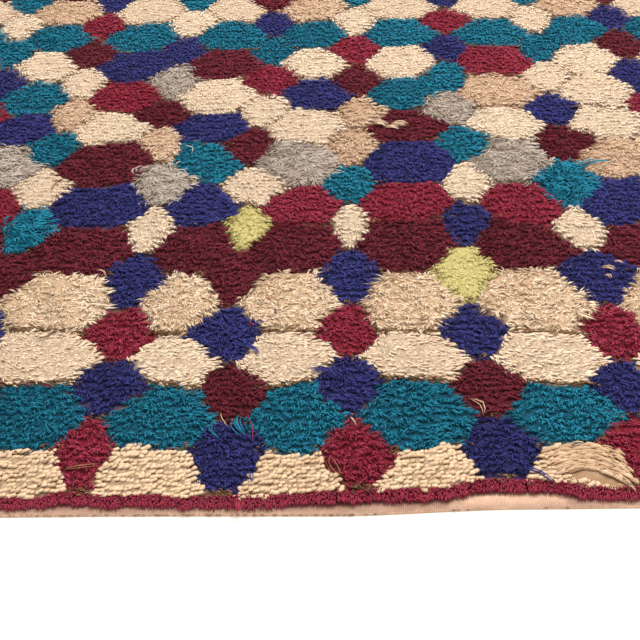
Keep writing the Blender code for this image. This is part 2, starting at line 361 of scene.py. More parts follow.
# A parting in the near ivory, the bare place at the near right, and the combed corner above it.
PARTED = Clearing(start=(0.050, -0.990), stop=(0.060, -1.022), half_width=0.0015)
BARE = Clearing(start=(0.312, -1.018), stop=(0.354, -1.030), half_width=0.009)
COMBED = Clearing(start=(0.322, -0.994), stop=(0.372, -1.018), half_width=0.027)


@dataclass
class Lattice:
    """The pattern: columns of diamonds tip to tip, and a wide hexagon between each pair of columns.

    Blocks are numbered: the hexagons first, row by row, and then the diamonds, row by row. A diamond
    goes from a blunt tip out to two blunt shoulders and back to the next tip.
    """

    column_pitch: float = 0.155
    row_pitch: float = 0.122
    hexagons_across: int = 9
    diamond_rows: int = 17
    diamond_width: float = 0.086
    # Where two diamonds meet, as a share of the way from one's shoulders to the next one's.
    tip_share: float = 0.45
    tip_half_width: float = 0.011
    shoulder_half_height: float = 0.007
    # Outwards from the last row of diamonds: the end of the cloth, and the line of the border row.
    end_margin: float = 0.094
    border_middle: float = 0.077
    # Inwards from that line: the end of the pile, and from there the last diamonds' tips.
    border_back: float = 0.0045
    tip_back: float = 0.008
    # How far a diamond stops short of where it meets the next one.
    tip_gap: float = 0.002
    drift_across: float = 0.007
    drift_along: float = 0.006
    drift_width: float = 0.009
    # How far the drifts' wave turns from one column to the next, and from one row to the next.
    column_turn: float = 1.9
    row_turn: float = 0.8
    tip_swing: float = 0.004
    end_tip_half_width: float = 13 * MM
    seam_bow: float = 0.003
    # A diamond's sides slant, so a place is nearer to them than the step across to them.
    side_slant: float = 0.78
    # How far the near and the far end of the cloth are drawn in at the right, in millimetres, and
    # between which places across that grows.
    drawn_in: tuple[float, float] = (9.6, 4.0)
    drawn_from: float = 0.04
    drawn_to: float = 0.25
    half_width: float = field(init=False)
    half_length: float = field(init=False)
    line_x: Array = field(init=False)
    shoulder_y: Array = field(init=False)
    left_x: Array = field(init=False)
    right_x: Array = field(init=False)
    tip_x: Array = field(init=False)
    tip_y: Array = field(init=False)
    tip_half: Array = field(init=False)
    chains: list[tuple[Array, Array, Array]] = field(init=False)

    def __post_init__(self) -> None:
        """Work out every shoulder, tip and edge of the diamonds."""
        self.half_width = self.hexagons_across * self.column_pitch / 2
        self.half_length = (self.diamond_rows - 1) * self.row_pitch / 2 + self.end_margin
        columns = np.arange(self.hexagons_across + 1)
        rows = np.arange(self.diamond_rows)
        line_x = (columns - self.hexagons_across / 2) * self.column_pitch
        line_y = (rows - (self.diamond_rows - 1) / 2) * self.row_pitch
        across, along, wider = self.drifts(columns, rows)
        half = (self.diamond_width + wider) / 2
        self.line_x = line_x
        self.shoulder_y = line_y[None, :] + along
        self.left_x = line_x[:, None] + across - half
        self.right_x = line_x[:, None] + across + half
        inner = np.ones(len(columns))
        inner[[0, -1]] = 0.0
        between = (across[:, :-1] + across[:, 1:]) / 2
        sides = np.concatenate([across[:, :1], between, across[:, -1:]], axis=1)
        self.tip_x = line_x[:, None] + inner[:, None] * sides
        self.tip_x[DRIFT_COLUMNS, 0] += np.array(END_STRAYS) * MM
        run = self.shoulder_y[:, :-1] + self.tip_share * np.diff(self.shoulder_y, axis=1)
        near = self.border_line(self.tip_x[:, :1], -1, self.border_back)
        far = self.border_line(self.tip_x[:, -1:], 1, self.border_back)
        self.tip_y = np.concatenate([near, run, far], axis=1)
        tips = np.arange(self.diamond_rows + 1)
        swing = np.sin(3.1 * columns[:, None] + 1.7 * tips[None, :])
        self.tip_half = self.tip_half_width + self.tip_swing * swing
        self.tip_half[:, [0, -1]] = self.end_tip_half_width
        self.tip_half[DRIFT_COLUMNS, 0] = np.array(END_TIPS) * MM
        self.chains = [self.chain(column) for column in columns]

    def drifts(self, columns: Array, rows: Array) -> tuple[Array, Array, Array]:
        """How far each diamond strays: waves over the whole rug, and the table where it speaks.

        The wave along turns 1.4 times as fast as the one across, and the width's 2.3 times as fast.

        Args:
            columns: the columns' numbers.
            rows: the rows' numbers.

        Returns:
            Shift across, shift along and added width, a row for each column of diamonds.
        """
        wave = self.column_turn * columns[:, None] + self.row_turn * rows[None, :]
        across = self.drift_across * np.sin(wave)
        along = self.drift_along * np.cos(1.4 * wave)
        wider = self.drift_width * np.sin(2.3 * wave + 1.0)
        for line in DRIFT:
            across[DRIFT_COLUMNS, line.row] = np.array(line.across) * MM
            along[DRIFT_COLUMNS, line.row] = np.array(line.along) * MM
            wider[DRIFT_COLUMNS, line.row] = np.array(line.wider) * MM
        return across, along, wider

    def border_line(self, x: Array, end: int, inwards: float) -> Array:
        """Y along a border row: its even place, two small waves, and the bumps as flat bells.

        Args:
            x: places across.
            end: -1 for the near end, 1 for the far one.
            inwards: how far inside the row's crest.

        Returns:
            Y at each place.
        """
        swing = sum(height * np.sin(rate * x) for height, rate in BORDER_WAVES)
        for bump in NEAR_BUMPS if end < 0 else FAR_BUMPS:
            swing = swing + bump.rise * np.exp(-(((x - bump.middle) / bump.half_length) ** 4))
        last_line = end * (self.half_length - self.end_margin)
        return last_line + end * (self.border_middle - swing - inwards)

    def end_line(self, x: Array, end: int) -> Array:
        """Y along an end of the cloth: a sine wave of 1 mm, drawn in at the right.

        Args:
            x: places across.
            end: -1 for the near end, 1 for the far one.

        Returns:
            Y at each place.
        """
        drawn_in = self.drawn_in[0 if end < 0 else 1] * smooth(x, self.drawn_from, self.drawn_to)
        return end * (self.half_length - MM * (1.0 - np.sin(9.0 * x) + drawn_in))

    def chain(self, column: int) -> tuple[Array, Array, Array]:
        """One column's left and right outline: out from each blunt tip to a shoulder and back.

        Args:
            column: which column of diamonds.

        Returns:
            Y of the outline's corners, and X of the left and of the right outline there.
        """
        corners_y, left, right = [self.tip_y[column, 0]], [], []
        tip_left = self.tip_x[column] - self.tip_half[column]
        tip_right = self.tip_x[column] + self.tip_half[column]
        left.append(tip_left[0])
        right.append(tip_right[0])
        for row in range(self.diamond_rows):
            for step in (-self.shoulder_half_height, self.shoulder_half_height):
                corners_y.append(self.shoulder_y[column, row] + step)
                left.append(self.left_x[column, row])
                right.append(self.right_x[column, row])
            corners_y.append(self.tip_y[column, row + 1])
            left.append(tip_left[row + 1])
            right.append(tip_right[row + 1])
        return np.array(corners_y), np.array(left), np.array(right)

    def seam_y(self, gap: Array, x: Array) -> Array:
        """Y of the seams between a gap's hexagons: straight between shoulders, bowed by half a sine wave.

        Args:
            gap: which gap between columns each place lies in.
            x: places across.

        Returns:
            One row for each place and one column for each seam.
        """
        start, stop = self.right_x[gap], self.left_x[gap + 1]
        share = np.clip((x[:, None] - start) / (stop - start), 0.0, 1.0)
        seams = self.shoulder_y[gap] * (1.0 - share) + self.shoulder_y[gap + 1] * share
        bow = self.seam_bow * np.sin(2.7 * gap[:, None] + 1.3 * np.arange(self.diamond_rows)[None, :])
        return seams + bow * np.sin(np.pi * share)

    def look_up(self, x: Array, y: Array) -> Places:
        """Find the block that each place lies in.

        The places are first shaken by up to 5 mm each way in uneven fields, so that the blocks' edges
        are as unsteady as a weaver's. The depth is the distance to the nearest edge of the block or of
        the rug's side. Outside the pile it is the distance past the pile's end.

        Args:
            x: places across.
            y: places along.

        Returns:
            The blocks' numbers and the depths; the number is -1 outside the pile.
        """
        x_true, y_true = x, y
        x = sum((shake.at(x_true, y_true) for shake in SHAKES_ACROSS), start=x_true)
        y = sum((shake.at(x, y_true) for shake in SHAKES_ALONG), start=y_true)
        columns = range(self.hexagons_across + 1)
        left = np.stack([np.interp(y, self.chains[c][0], self.chains[c][1]) for c in columns])
        right = np.stack([np.interp(y, self.chains[c][0], self.chains[c][2]) for c in columns])
        left[0] = -np.inf
        right[-1] = np.inf
        inside = (x >= left) & (x <= right)
        in_diamond = inside.any(axis=0)
        column = inside.argmax(axis=0)
        gap = np.clip((x > right).sum(axis=0) - 1, 0, self.hexagons_across - 1)
        seams = self.seam_y(gap, x)
        hexagon_row = (y[:, None] > seams).sum(axis=1)
        tips = self.tip_y[column]
        diamond_row = np.clip((y[:, None] > tips).sum(axis=1) - 1, 0, self.diamond_rows - 1)
        here = np.arange(len(x))
        diamond_depth = self.side_slant * np.minimum(x - left[column, here], right[column, here] - x)
        diamond_depth = np.minimum(diamond_depth, np.abs(y[:, None] - tips).min(axis=1) - self.tip_gap)
        to_sides = self.side_slant * np.minimum(x - right[gap, here], left[gap + 1, here] - x)
        hexagon_depth = np.minimum(to_sides, np.abs(y[:, None] - seams).min(axis=1))
        first_diamond = len(HEXAGON_CHART) * self.hexagons_across
        hexagon = hexagon_row * self.hexagons_across + gap
        diamond = first_diamond + diamond_row * (self.hexagons_across + 1) + column
        block = np.where(in_diamond, diamond, hexagon)
        depth = np.where(in_diamond, diamond_depth, hexagon_depth)
        to_near = y_true - self.border_line(x_true, -1, self.border_back)
        to_far = self.border_line(x_true, 1, self.border_back) - y_true
        to_end = np.minimum(to_near, to_far)
        outside = (to_end < 0) | (np.abs(x_true) > self.half_width)
        depth = np.where(in_diamond, np.minimum(depth, to_end - self.tip_back), depth)
        depth = np.minimum(depth, self.half_width - np.abs(x_true))
        depth = np.where(outside, -to_end, depth)
        return Places(block=np.where(outside, -1, block), depth=depth)

    def middles(self) -> tuple[Array, Array]:
        """The middle of each block: across, and along.

        A hexagon's middle lies half-way between two columns and two seams, and a diamond's between
        its shoulders. A half-diamond's at a side edge lies half-way to its one shoulder.

        Returns:
            X and Y, in the order of the blocks' numbers.
        """
        gap_x = (self.line_x[:-1] + self.line_x[1:]) / 2
        mean_y = (self.shoulder_y[:-1] + self.shoulder_y[1:]) / 2
        near = self.border_line(gap_x, -1, self.border_back)[:, None]
        far = self.border_line(gap_x, 1, self.border_back)[:, None]
        lines = np.concatenate([near, mean_y, far], axis=1)
        hexagon_y = (lines[:, :-1] + lines[:, 1:]) / 2
        hexagon_x = np.broadcast_to(gap_x[:, None], hexagon_y.shape)
        furthest = self.half_width - self.diamond_width / 4
        diamond_x = np.clip((self.left_x + self.right_x) / 2, -furthest, furthest)
        x = np.concatenate([hexagon_x.T.ravel(), diamond_x.T.ravel()])
        y = np.concatenate([hexagon_y.T.ravel(), self.shoulder_y.T.ravel()])
        return x, y


# The finishes.


@dataclass(frozen=True)
class DyedWool:
    """Hand-spun sheep's wool, dyed in the yarn and cut as pile.

    It is matt, with a faint sheen off its fibres. Its deep colour is painted shade, shown where a
    strand's light is low: at its root, along its lower flanks and in the chinks between its fibres.
    Its own colour goes paler by its tone and by soft patches.
    """

    name: str
    body: str
    light: str
    # The painted shade colour, shown at the roots, the lower flanks and the chinks.
    deep: str
    mottle: float = 0.5
    roughness: float = 0.92
    sheen: float = 0.04
    # Wool fibres are 0.03 mm thick. They are drawn as locks of this size, the finest that shows.
    fibre: float = 1.1 * MM
    # The share of the strand's light left in the chinks between its fibres, where the painted shade
    # shows.
    chinks: float = 0.4
    patch: float = 14 * MM

    def material(self) -> bpy.types.Material:
        """Build the finish.

        The colour goes from the deep shade to the strand's own as it comes into the open, and on to
        the light one by its tone and by soft patches. A fine noise of the fibres' size roughens it and
        lets the deep shade through in the chinks between them.

        Returns:
            The material.
        """
        made, tree, shader, place = start_finish(self.name)
        tone = add_node(tree, "ShaderNodeAttribute", {}, attribute_name="tone").outputs["Fac"]
        light = add_node(tree, "ShaderNodeAttribute", {}, attribute_name="light").outputs["Fac"]
        fibres = add_node(
            tree, "ShaderNodeTexNoise", {"Vector": place, "Scale": 1 / self.fibre, "Detail": 3.0}
        )
        patches = add_node(
            tree, "ShaderNodeTexNoise", {"Vector": place, "Scale": 1 / self.patch, "Detail": 2.0}
        )
        grain = add_node(tree, "ShaderNodeMath", {0: fibres.outputs["Fac"], 1: patches.outputs["Fac"]})
        lit = add_node(
            tree, "ShaderNodeMath", {0: grain.outputs[0], 1: self.mottle, 2: tone},
            operation="MULTIPLY_ADD",
        )
        share = add_node(
            tree, "ShaderNodeMapRange",
            {"Value": lit.outputs[0], "From Min": 0.55, "From Max": 1.45},
        )
        own = add_node(
            tree, "ShaderNodeMix",
            {0: share.outputs[0], 6: linear(self.body), 7: linear(self.light)}, data_type="RGBA",
        )
        chinks = add_node(
            tree, "ShaderNodeMapRange",
            {"Value": fibres.outputs["Fac"], "From Min": 0.38, "From Max": 0.52, "To Min": self.chinks},
        )
        cover = add_node(tree, "ShaderNodeMath", {0: light, 1: chinks.outputs[0]}, operation="MULTIPLY")
        # Painted shade: the deep colour shows where the light attribute or the chinks are low.
        colour = add_node(
            tree, "ShaderNodeMix",
            {0: cover.outputs[0], 6: linear(self.deep), 7: own.outputs[2]}, data_type="RGBA",
        )
        bump = add_node(
            tree, "ShaderNodeBump",
            {"Height": fibres.outputs["Fac"], "Distance": 0.8 * MM, "Strength": 0.7},
        )
        tree.links.new(colour.outputs[2], shader.inputs["Base Color"])
        tree.links.new(bump.outputs[0], shader.inputs["Normal"])
        shader.inputs["Roughness"].default_value = self.roughness
        shader.inputs["Specular IOR Level"].default_value = 0.08
        shader.inputs["Sheen Weight"].default_value = self.sheen
        shader.inputs["Sheen Roughness"].default_value = 0.5
        return made


DYES = {
    "I": DyedWool(name="ivory_wool", body="DEC2A4", light="F9E5CB", deep="B0886A", chinks=0.85),
    "P": DyedWool(name="plump_ivory_wool", body="DAB692", light="F0D4B0", deep="7A5032", chinks=0.78),
    "F": DyedWool(name="brushed_ivory_wool", body="DCB894", light="FCE8CC", deep="9E704A", chinks=0.9),
    "A": DyedWool(name="tan_wool", body="D0AA8A", light="EACEB2", deep="946440", chinks=0.8),
    "T": DyedWool(name="teal_wool", body="0E6782", light="2C9CBA", deep="042C3A", mottle=0.7),
    "B": DyedWool(name="indigo_wool", body="31316E", light="4F4F9E", deep="101036", mottle=0.6),
    "R": DyedWool(name="crimson_wool", body="9A2037", light="C0465F", deep="480A16", mottle=0.6),
    "M": DyedWool(name="maroon_wool", body="6C1C2A", light="903444", deep="2C080E", mottle=0.6),
    "G": DyedWool(name="grey_wool", body="B09E8E", light="D6C8BC", deep="6E6054", chinks=0.6),
    "Y": DyedWool(name="lime_wool", body="D8C880", light="EEE29E", deep="8C8444", chinks=0.8),
    "W": DyedWool(name="brown_weft_wool", body="86603F", light="B48C68", deep="46301E"),
}
# The pale dyes, and every block's dye in the order of the blocks' numbers.
PALE = "IPFAYG"
LETTERS = "".join(HEXAGON_CHART) + "".join(DIAMOND_CHART)


@dataclass(frozen=True)
class PressedPile:
    """The depth of the pile, between the strands that are modelled: tufts pressed together.

    It gives the chinks small rounded tufts of the block's own dye, with painted shade where they meet.
    They are as long as a tuft of the pile and half as wide. The painted colour's alpha is the share of
    light that is left where they meet.
    """

    name: str = "pressed_wool_pile"
    tuft_width: float = 2.4 * MM
    tuft_length: float = 5.0 * MM
    # The tufts' rows stray by this much, in patches of this size.
    stray: float = 0.012
    stray_patch: float = 9 * MM
    roughness: float = 0.95

    def material(self) -> bpy.types.Material:
        """Build the finish: the painted dye, shaded by the distance from each tuft's middle.

        Returns:
            The material.
        """
        made, tree, shader, place = start_finish(self.name)
        painted = add_node(tree, "ShaderNodeAttribute", {}, attribute_name="dye").outputs
        stray = add_node(
            tree, "ShaderNodeTexNoise", {"Vector": place, "Scale": 1 / self.stray_patch, "Detail": 2.0}
        )
        moved = add_node(
            tree, "ShaderNodeVectorMath",
            {0: stray.outputs["Color"], 1: (self.stray, self.stray, 0.0), 2: place},
            operation="MULTIPLY_ADD",
        ).outputs[0]
        sized = add_node(
            tree, "ShaderNodeVectorMath",
            {0: moved, 1: (1 / self.tuft_width, 1 / self.tuft_length, 1 / self.tuft_width)},
            operation="MULTIPLY",
        ).outputs[0]
        tufts = add_node(tree, "ShaderNodeTexVoronoi", {"Vector": sized, "Scale": 1.0})
        shade = add_node(
            tree, "ShaderNodeMapRange",
            {
                "Value": tufts.outputs["Distance"], "From Min": 0.1, "From Max": 0.75,
                "To Min": 1.0, "To Max": painted["Alpha"],
            },
        ).outputs[0]
        colour = add_node(
            tree, "ShaderNodeVectorMath", {0: painted["Color"], "Scale": shade}, operation="SCALE"
        )
        bump = add_node(tree, "ShaderNodeBump", {"Height": shade, "Distance": 2.0 * MM, "Strength": 0.8})
        tree.links.new(colour.outputs[0], shader.inputs["Base Color"])
        tree.links.new(bump.outputs[0], shader.inputs["Normal"])
        shader.inputs["Roughness"].default_value = self.roughness
        shader.inputs["Specular IOR Level"].default_value = 0.2
        return made


# A wave texture of a scale of one has one crest each 0.314 of a unit.
WAVE_CREST = 0.314


@dataclass(frozen=True)
class GroundWeave:
    """Plain-woven wool ground: warps and packed wefts, 2 mm apart, felted and soiled by use.

    It gives fine upright ribs with a soft weft line across them, matt and uneven in colour.
    """

    name: str = "ground_weave_wool"
    warp_pitch: float = 2.1 * MM
    weft_pitch: float = 1.6 * MM
    roughness: float = 0.95

    def material(self) -> bpy.types.Material:
        """Build the finish: the cloth's painted colours, shaded by the ribs of warp and weft.

        Returns:
            The material.
        """
        made, tree, shader, place = start_finish(self.name)
        paint = add_node(tree, "ShaderNodeAttribute", {}, attribute_name="dye").outputs["Color"]
        warps = add_node(
            tree, "ShaderNodeTexWave",
            {"Vector": place, "Scale": WAVE_CREST / self.warp_pitch, "Distortion": 1.5, "Detail": 2.0},
            bands_direction="X",
        ).outputs["Fac"]
        wefts = add_node(
            tree, "ShaderNodeTexWave",
            {"Vector": place, "Scale": WAVE_CREST / self.weft_pitch, "Distortion": 2.5, "Detail": 2.0},
            bands_direction="Y",
        ).outputs["Fac"]
        soil = add_node(
            tree, "ShaderNodeTexNoise", {"Vector": place, "Scale": 90.0, "Detail": 4.0}
        ).outputs["Fac"]
        ribs = add_node(
            tree, "ShaderNodeMath", {0: warps, 1: 1.3, 2: wefts}, operation="MULTIPLY_ADD"
        ).outputs[0]
        shade = add_node(
            tree, "ShaderNodeMapRange", {"Value": ribs, "From Max": 2.3, "To Min": 0.72, "To Max": 1.08}
        ).outputs[0]
        dirt = add_node(
            tree, "ShaderNodeMapRange",
            {"Value": soil, "From Min": 0.3, "From Max": 0.7, "To Min": 0.84, "To Max": 1.06},
        ).outputs[0]
        both = add_node(tree, "ShaderNodeMath", {0: shade, 1: dirt}, operation="MULTIPLY").outputs[0]
        colour = add_node(
            tree, "ShaderNodeVectorMath", {0: paint, "Scale": both}, operation="SCALE"
        ).outputs[0]
        bump = add_node(tree, "ShaderNodeBump", {"Height": ribs, "Distance": 0.5 * MM, "Strength": 0.7})
        tree.links.new(colour, shader.inputs["Base Color"])
        tree.links.new(bump.outputs[0], shader.inputs["Normal"])
        shader.inputs["Roughness"].default_value = self.roughness
        shader.inputs["Specular IOR Level"].default_value = 0.2
        return made


@dataclass(frozen=True)
class PaintedFloor:
    """A smooth floor in off-white matt paint, which gives a plain bright ground."""

    name: str = "matt_white_paint"
    colour: str = "F7F4EA"

    def material(self) -> bpy.types.Material:
        """Build the finish, with a trace of roller mottle.

        Returns:
            The material.
        """
        made, tree, shader, place = start_finish(self.name)
        mottle = add_node(
            tree, "ShaderNodeTexNoise", {"Vector": place, "Scale": 2.5, "Detail": 2.0}
        ).outputs["Fac"]
        colour = add_node(
            tree, "ShaderNodeMix", {0: mottle, 6: linear(self.colour, 0.985), 7: linear(self.colour)},
            data_type="RGBA",
        )
        tree.links.new(colour.outputs[2], shader.inputs["Base Color"])
        shader.inputs["Roughness"].default_value = 0.8
        return made


# Strands of yarn.


# The share of its run at which a strand is highest.
CREST = 0.6


@dataclass
class Strands:
    """Many strands of yarn, one entry to a strand, in metres and radians.

    The light is the share of a strand's own colour that shows, less where its neighbours shade it.
    """

    root: Array
    heading: Array
    reach: Array
    rise: Array
    sag: Array
    curl: Array
    radius: Array
    tone: Array
    light: Array

    def pick(self, chosen: Array) -> "Strands":
        """Take some of the strands."""
        return Strands(*(values[chosen] for values in vars(self).values()))

    def path(self, steps: Array) -> Array:
        """Where each strand runs.

        It goes evenly outwards along its heading, rises on a quarter wave to its crest, sags after that
        by a square law, and swings aside on a half wave.

        Args:
            steps: shares of the run, from 0 at the root to 1 at the cut end.

        Returns:
            A point for each strand and step.
        """
        share = steps[None, :]
        out = np.stack([np.cos(self.heading), np.sin(self.heading)], axis=1)
        side = np.stack([-out[:, 1], out[:, 0]], axis=1)
        swing = self.curl[:, None] * np.sin(np.pi * share)
        run = out[:, None, :] * (self.reach[:, None] * share)[:, :, None]
        flat = run + side[:, None, :] * swing[:, :, None]
        height = self.rise[:, None] * np.sin(np.pi / 2 * np.minimum(1.0, share / CREST))
        height = height - self.sag[:, None] * (np.maximum(0.0, share - CREST) / (1.0 - CREST)) ** 2
        return self.root[:, None, :] + np.concatenate([flat, height[:, :, None]], axis=2)


@dataclass(frozen=True)
class Cut:
    """How a strand is modelled: its number of sides, and each ring's place, thickness and light.

    The light is 1 where the strand lies in the open and less where others shade it. Its flanks lose
    the share of light that shaded gives, and its point half of that. A pointed strand ends in one
    point, and any other one in a flat cut.
    """

    sides: int
    steps: tuple[float, ...]
    thickness: tuple[float, ...]
    light: tuple[float, ...]
    flatness: float = 1.0
    shaded: float = 0.0
    pointed: bool = False


@dataclass
class Bundle:
    """Points and faces of many strands, gathered for one joined mesh."""

    points: list[Array] = field(default_factory=list)
    faces: list[Array] = field(default_factory=list)
    tones: list[Array] = field(default_factory=list)
    lights: list[Array] = field(default_factory=list)
    count: int = 0

    def add(self, strands: Strands, cut: Cut) -> None:
        """Sweep a ring of sides along each strand's path, from a point at its root to its end.

        Each ring stands square to the path: one of its axes is level, and the other is square to that
        one and to the path. The root is one point, and the end a point or a flat face.

        Args:
            strands: the strands.
            cut: how they are modelled.
        """
        number, rings, sides = len(strands.tone), len(cut.steps), cut.sides
        if number == 0:
            return
        steps = (0.0, *cut.steps, 1.0) if cut.pointed else (0.0, *cut.steps)
        line = strands.path(np.array(steps))
        forward = np.concatenate([line[:, 2:] - line[:, :-2], line[:, -1:] - line[:, -2:-1]], axis=1)
        forward = forward[:, :rings]
        forward = forward / np.linalg.norm(forward, axis=2, keepdims=True)
        level = np.stack([-forward[:, :, 1], forward[:, :, 0], np.zeros((number, rings))], axis=2)
        level /= np.maximum(np.linalg.norm(level, axis=2, keepdims=True), 1e-9)
        upright = np.cross(forward, level)
        angle = 2.0 * np.pi * (np.arange(sides) + 0.5) / sides
        radius = strands.radius[:, None] * np.array(cut.thickness)[None, :]
        round_about = (
            level[:, :, None, :] * np.cos(angle)[None, None, :, None]
            + upright[:, :, None, :] * (cut.flatness * np.sin(angle))[None, None, :, None]
        )
        ring = line[:, 1:rings + 1, None, :] + round_about * radius[:, :, None, None]
        body = ring.reshape(number, rings * sides, 3)
        points = np.concatenate([line[:, :1], body, line[:, rings + 1:]], axis=1)
        each = points.shape[1]
        base = self.count + np.arange(number)[:, None, None] * each
        here = np.arange(sides)
        after = (here + 1) % sides
        low = base + 1 + np.arange(rings - 1)[None, :, None] * sides
        root = np.broadcast_to(base, (number, 1, sides))
        tents = np.stack([root, base + 1 + after, base + 1 + here], axis=3).reshape(-1, 3)
        walls = np.stack([low + here, low + after, low + sides + after, low + sides + here], axis=3)
        last = base + 1 + (rings - 1) * sides
        if cut.pointed:
            ends = np.stack([last + here, last + after, root + each - 1], axis=3).reshape(-1, 3)
        else:
            ends = (last + here).reshape(-1, sides)
        self.points.append(points.reshape(-1, 3))
        self.faces += [tents, walls.reshape(-1, 4), ends]
        self.tones.append(np.repeat(strands.tone, each))
        # Painted shade: the root, the lower flanks and the point of each strand are darker.
        flanks = 1.0 - cut.shaded * (1.0 - smooth(np.sin(angle), -0.4, 0.95))
        light = np.concatenate(([0.0], (np.array(cut.light)[:, None] * flanks[None, :]).ravel()))
        light = np.append(light, cut.light[-1] * (1.0 - 0.5 * cut.shaded)) if cut.pointed else light
        self.lights.append((strands.light[:, None] * light[None, :]).ravel())
        self.count += number * each

    def piece(self, name: str, material: bpy.types.Material) -> bpy.types.Object:
        """Join what was gathered into one object.

        Args:
            name: the piece's name.
            material: its finish.

        Returns:
            The object, which rides on the rug.
        """
        values = {"tone": np.concatenate(self.tones), "light": np.concatenate(self.lights)}
        made = new_piece(name, np.concatenate(self.points), self.faces, values)
        made.data.materials.append(material)
        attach(made, BODY)
        return made


# The pile.


@dataclass(frozen=True)
class Habit:
    """How one kind of pile grows, in metres and radians.

    strands and cuts give how many strands stand in a knot, and how each is modelled, where the
    photograph looks closely, where it looks from further off, and elsewhere. A knot's strands make
    one lock: across is half its width, splay is how much the locks' headings differ, stray how much
    the strands' own do, and gathered how much they turn towards the lock's middle. No knot stands
    closer than gap to its block's edge, or than clear to an edge on its near side.
    """

    strands: tuple[float, float, float]
    cuts: tuple[Cut, Cut, Cut]
    knot_pitch: float
    row_pitch: float
    reach: float
    rise: float
    sag: float
    radius: float
    splay: float
    across: float
    along: float
    curl: float
    jitter: float
    gap: float
    clear: float
    stray: float = 0.18
    gathered: float = 0.25
    slant: float = 0.0
    fan: float = 0.9
    fan_along: float = 0.4
    swirl: float = 1.0
    tone: float = 0.5


SPIKE = Cut(sides=3, steps=(0.52,), thickness=(1.0,), light=(1.0,), shaded=0.25, pointed=True)
WEDGE = Cut(sides=3, steps=(1.0,), thickness=(1.0,), light=(1.0,))
LONG = Cut(
    sides=3, steps=(0.25, 0.5, 0.76), thickness=(0.9, 1.0, 0.85), light=(0.6, 0.95, 1.0), pointed=True
)
GRAIN = Cut(
    sides=6, steps=(0.25, 0.8), thickness=(1.0, 0.9), light=(0.9, 1.0), flatness=0.38, shaded=1.0,
    pointed=True,
)
STROKE = Cut(
    sides=3, steps=(0.3, 0.75), thickness=(1.0, 0.9), light=(0.95, 1.0), flatness=0.8, pointed=True,
)
FOLD = Cut(
    sides=6, steps=(0.2, 0.5, 0.8), thickness=(0.8, 1.0, 0.8), light=(0.8, 1.0, 0.95), flatness=0.5,
    shaded=1.0, pointed=True,
)
PLUMP = Cut(
    sides=4, steps=(0.22, 0.76), thickness=(0.8, 0.75), light=(0.9, 1.0), flatness=0.6, shaded=0.6,
    pointed=True,
)
KERNEL = Cut(
    sides=4, steps=(0.5,), thickness=(1.0,), light=(1.0,), flatness=0.5, shaded=0.6, pointed=True
)


class Pile(Enum):
    """The kinds of pile that the rug shows."""

    CUT = Habit(
        strands=(5.05, 2.4, 0.85), cuts=(SPIKE, SPIKE, WEDGE), knot_pitch=5.2 * MM, row_pitch=9.5 * MM,
        reach=14.5 * MM, rise=7.0 * MM, sag=2.4 * MM, radius=1.0 * MM, splay=0.55,
        across=2.1 * MM, along=3.0 * MM, curl=2.6 * MM, jitter=2.2 * MM, gap=0.5 * MM, clear=2.5 * MM,
        stray=0.22, slant=0.3,
    )
    GRAINS = Habit(
        strands=(1.0, 1.0, 0.7), cuts=(GRAIN, PLUMP, PLUMP), knot_pitch=5.2 * MM,
        row_pitch=6.8 * MM, reach=13.0 * MM, rise=7.2 * MM, sag=1.4 * MM, radius=4.0 * MM, splay=0.2,
        across=0.0, along=0.8 * MM, curl=1.2 * MM, jitter=0.6 * MM, gap=0.0, clear=0.0,
        stray=0.0, gathered=0.0, slant=1.4, fan=0.25, swirl=0.34, tone=0.7,
    )
    ROWS = Habit(
        strands=(5.0, 2.6, 1.1), cuts=(SPIKE, SPIKE, WEDGE), knot_pitch=5.2 * MM, row_pitch=10.0 * MM,
        reach=15.0 * MM, rise=7.4 * MM, sag=1.4 * MM, radius=1.2 * MM, splay=0.25,
        across=2.7 * MM, along=2.0 * MM, curl=0.8 * MM, jitter=0.8 * MM, gap=1.0 * MM, clear=2.0 * MM,
        stray=0.12, gathered=0.1, slant=1.0, fan=0.5, tone=0.9,
    )
    SMALL_GRAINS = Habit(
        strands=(2.3, 1.0, 0.65), cuts=(STROKE, KERNEL, KERNEL), knot_pitch=5.4 * MM,
        row_pitch=5.4 * MM, reach=15.0 * MM, rise=7.0 * MM, sag=0.8 * MM, radius=1.6 * MM, splay=0.15,
        across=1.6 * MM, along=2.4 * MM, curl=1.0 * MM, jitter=1.0 * MM, gap=1.0 * MM, clear=2.0 * MM,
        stray=0.08, gathered=0.0, slant=1.15, fan=0.4, swirl=0.5, tone=0.48,
    )
    SHORN = Habit(
        strands=(4.9, 2.5, 1.0), cuts=(SPIKE, SPIKE, WEDGE), knot_pitch=5.2 * MM, row_pitch=9.5 * MM,
        reach=18.0 * MM, rise=7.6 * MM, sag=1.4 * MM, radius=1.2 * MM, splay=0.6,
        across=2.4 * MM, along=3.5 * MM, curl=2.4 * MM, jitter=2.4 * MM, gap=1.0 * MM, clear=3.5 * MM,
        stray=0.2, gathered=0.1, slant=0.6, fan=1.2, fan_along=1.2, swirl=1.5, tone=0.7,
    )
    SHAGGY = Habit(
        strands=(8.0, 5.0, 2.4), cuts=(LONG, SPIKE, WEDGE), knot_pitch=7.75 * MM, row_pitch=12.0 * MM,
        reach=23 * MM, rise=8.5 * MM, sag=3.4 * MM, radius=1.05 * MM, splay=1.0,
        across=3.4 * MM, along=4.0 * MM, curl=4.5 * MM, jitter=1.6 * MM, gap=-1.0 * MM, clear=0.0,
        stray=0.5,
    )


# The dyes of the shorn blocks, and the ivory rows of hexagons that hold small grains.
SHORN_DYES = "AF"
SMALL_GRAIN_ROWS = (2, 11)
# The waves of a block's rows of knots: height and length.
ROW_WAVES = ((1.3 * MM, 0.08), (0.8 * MM, 0.031))
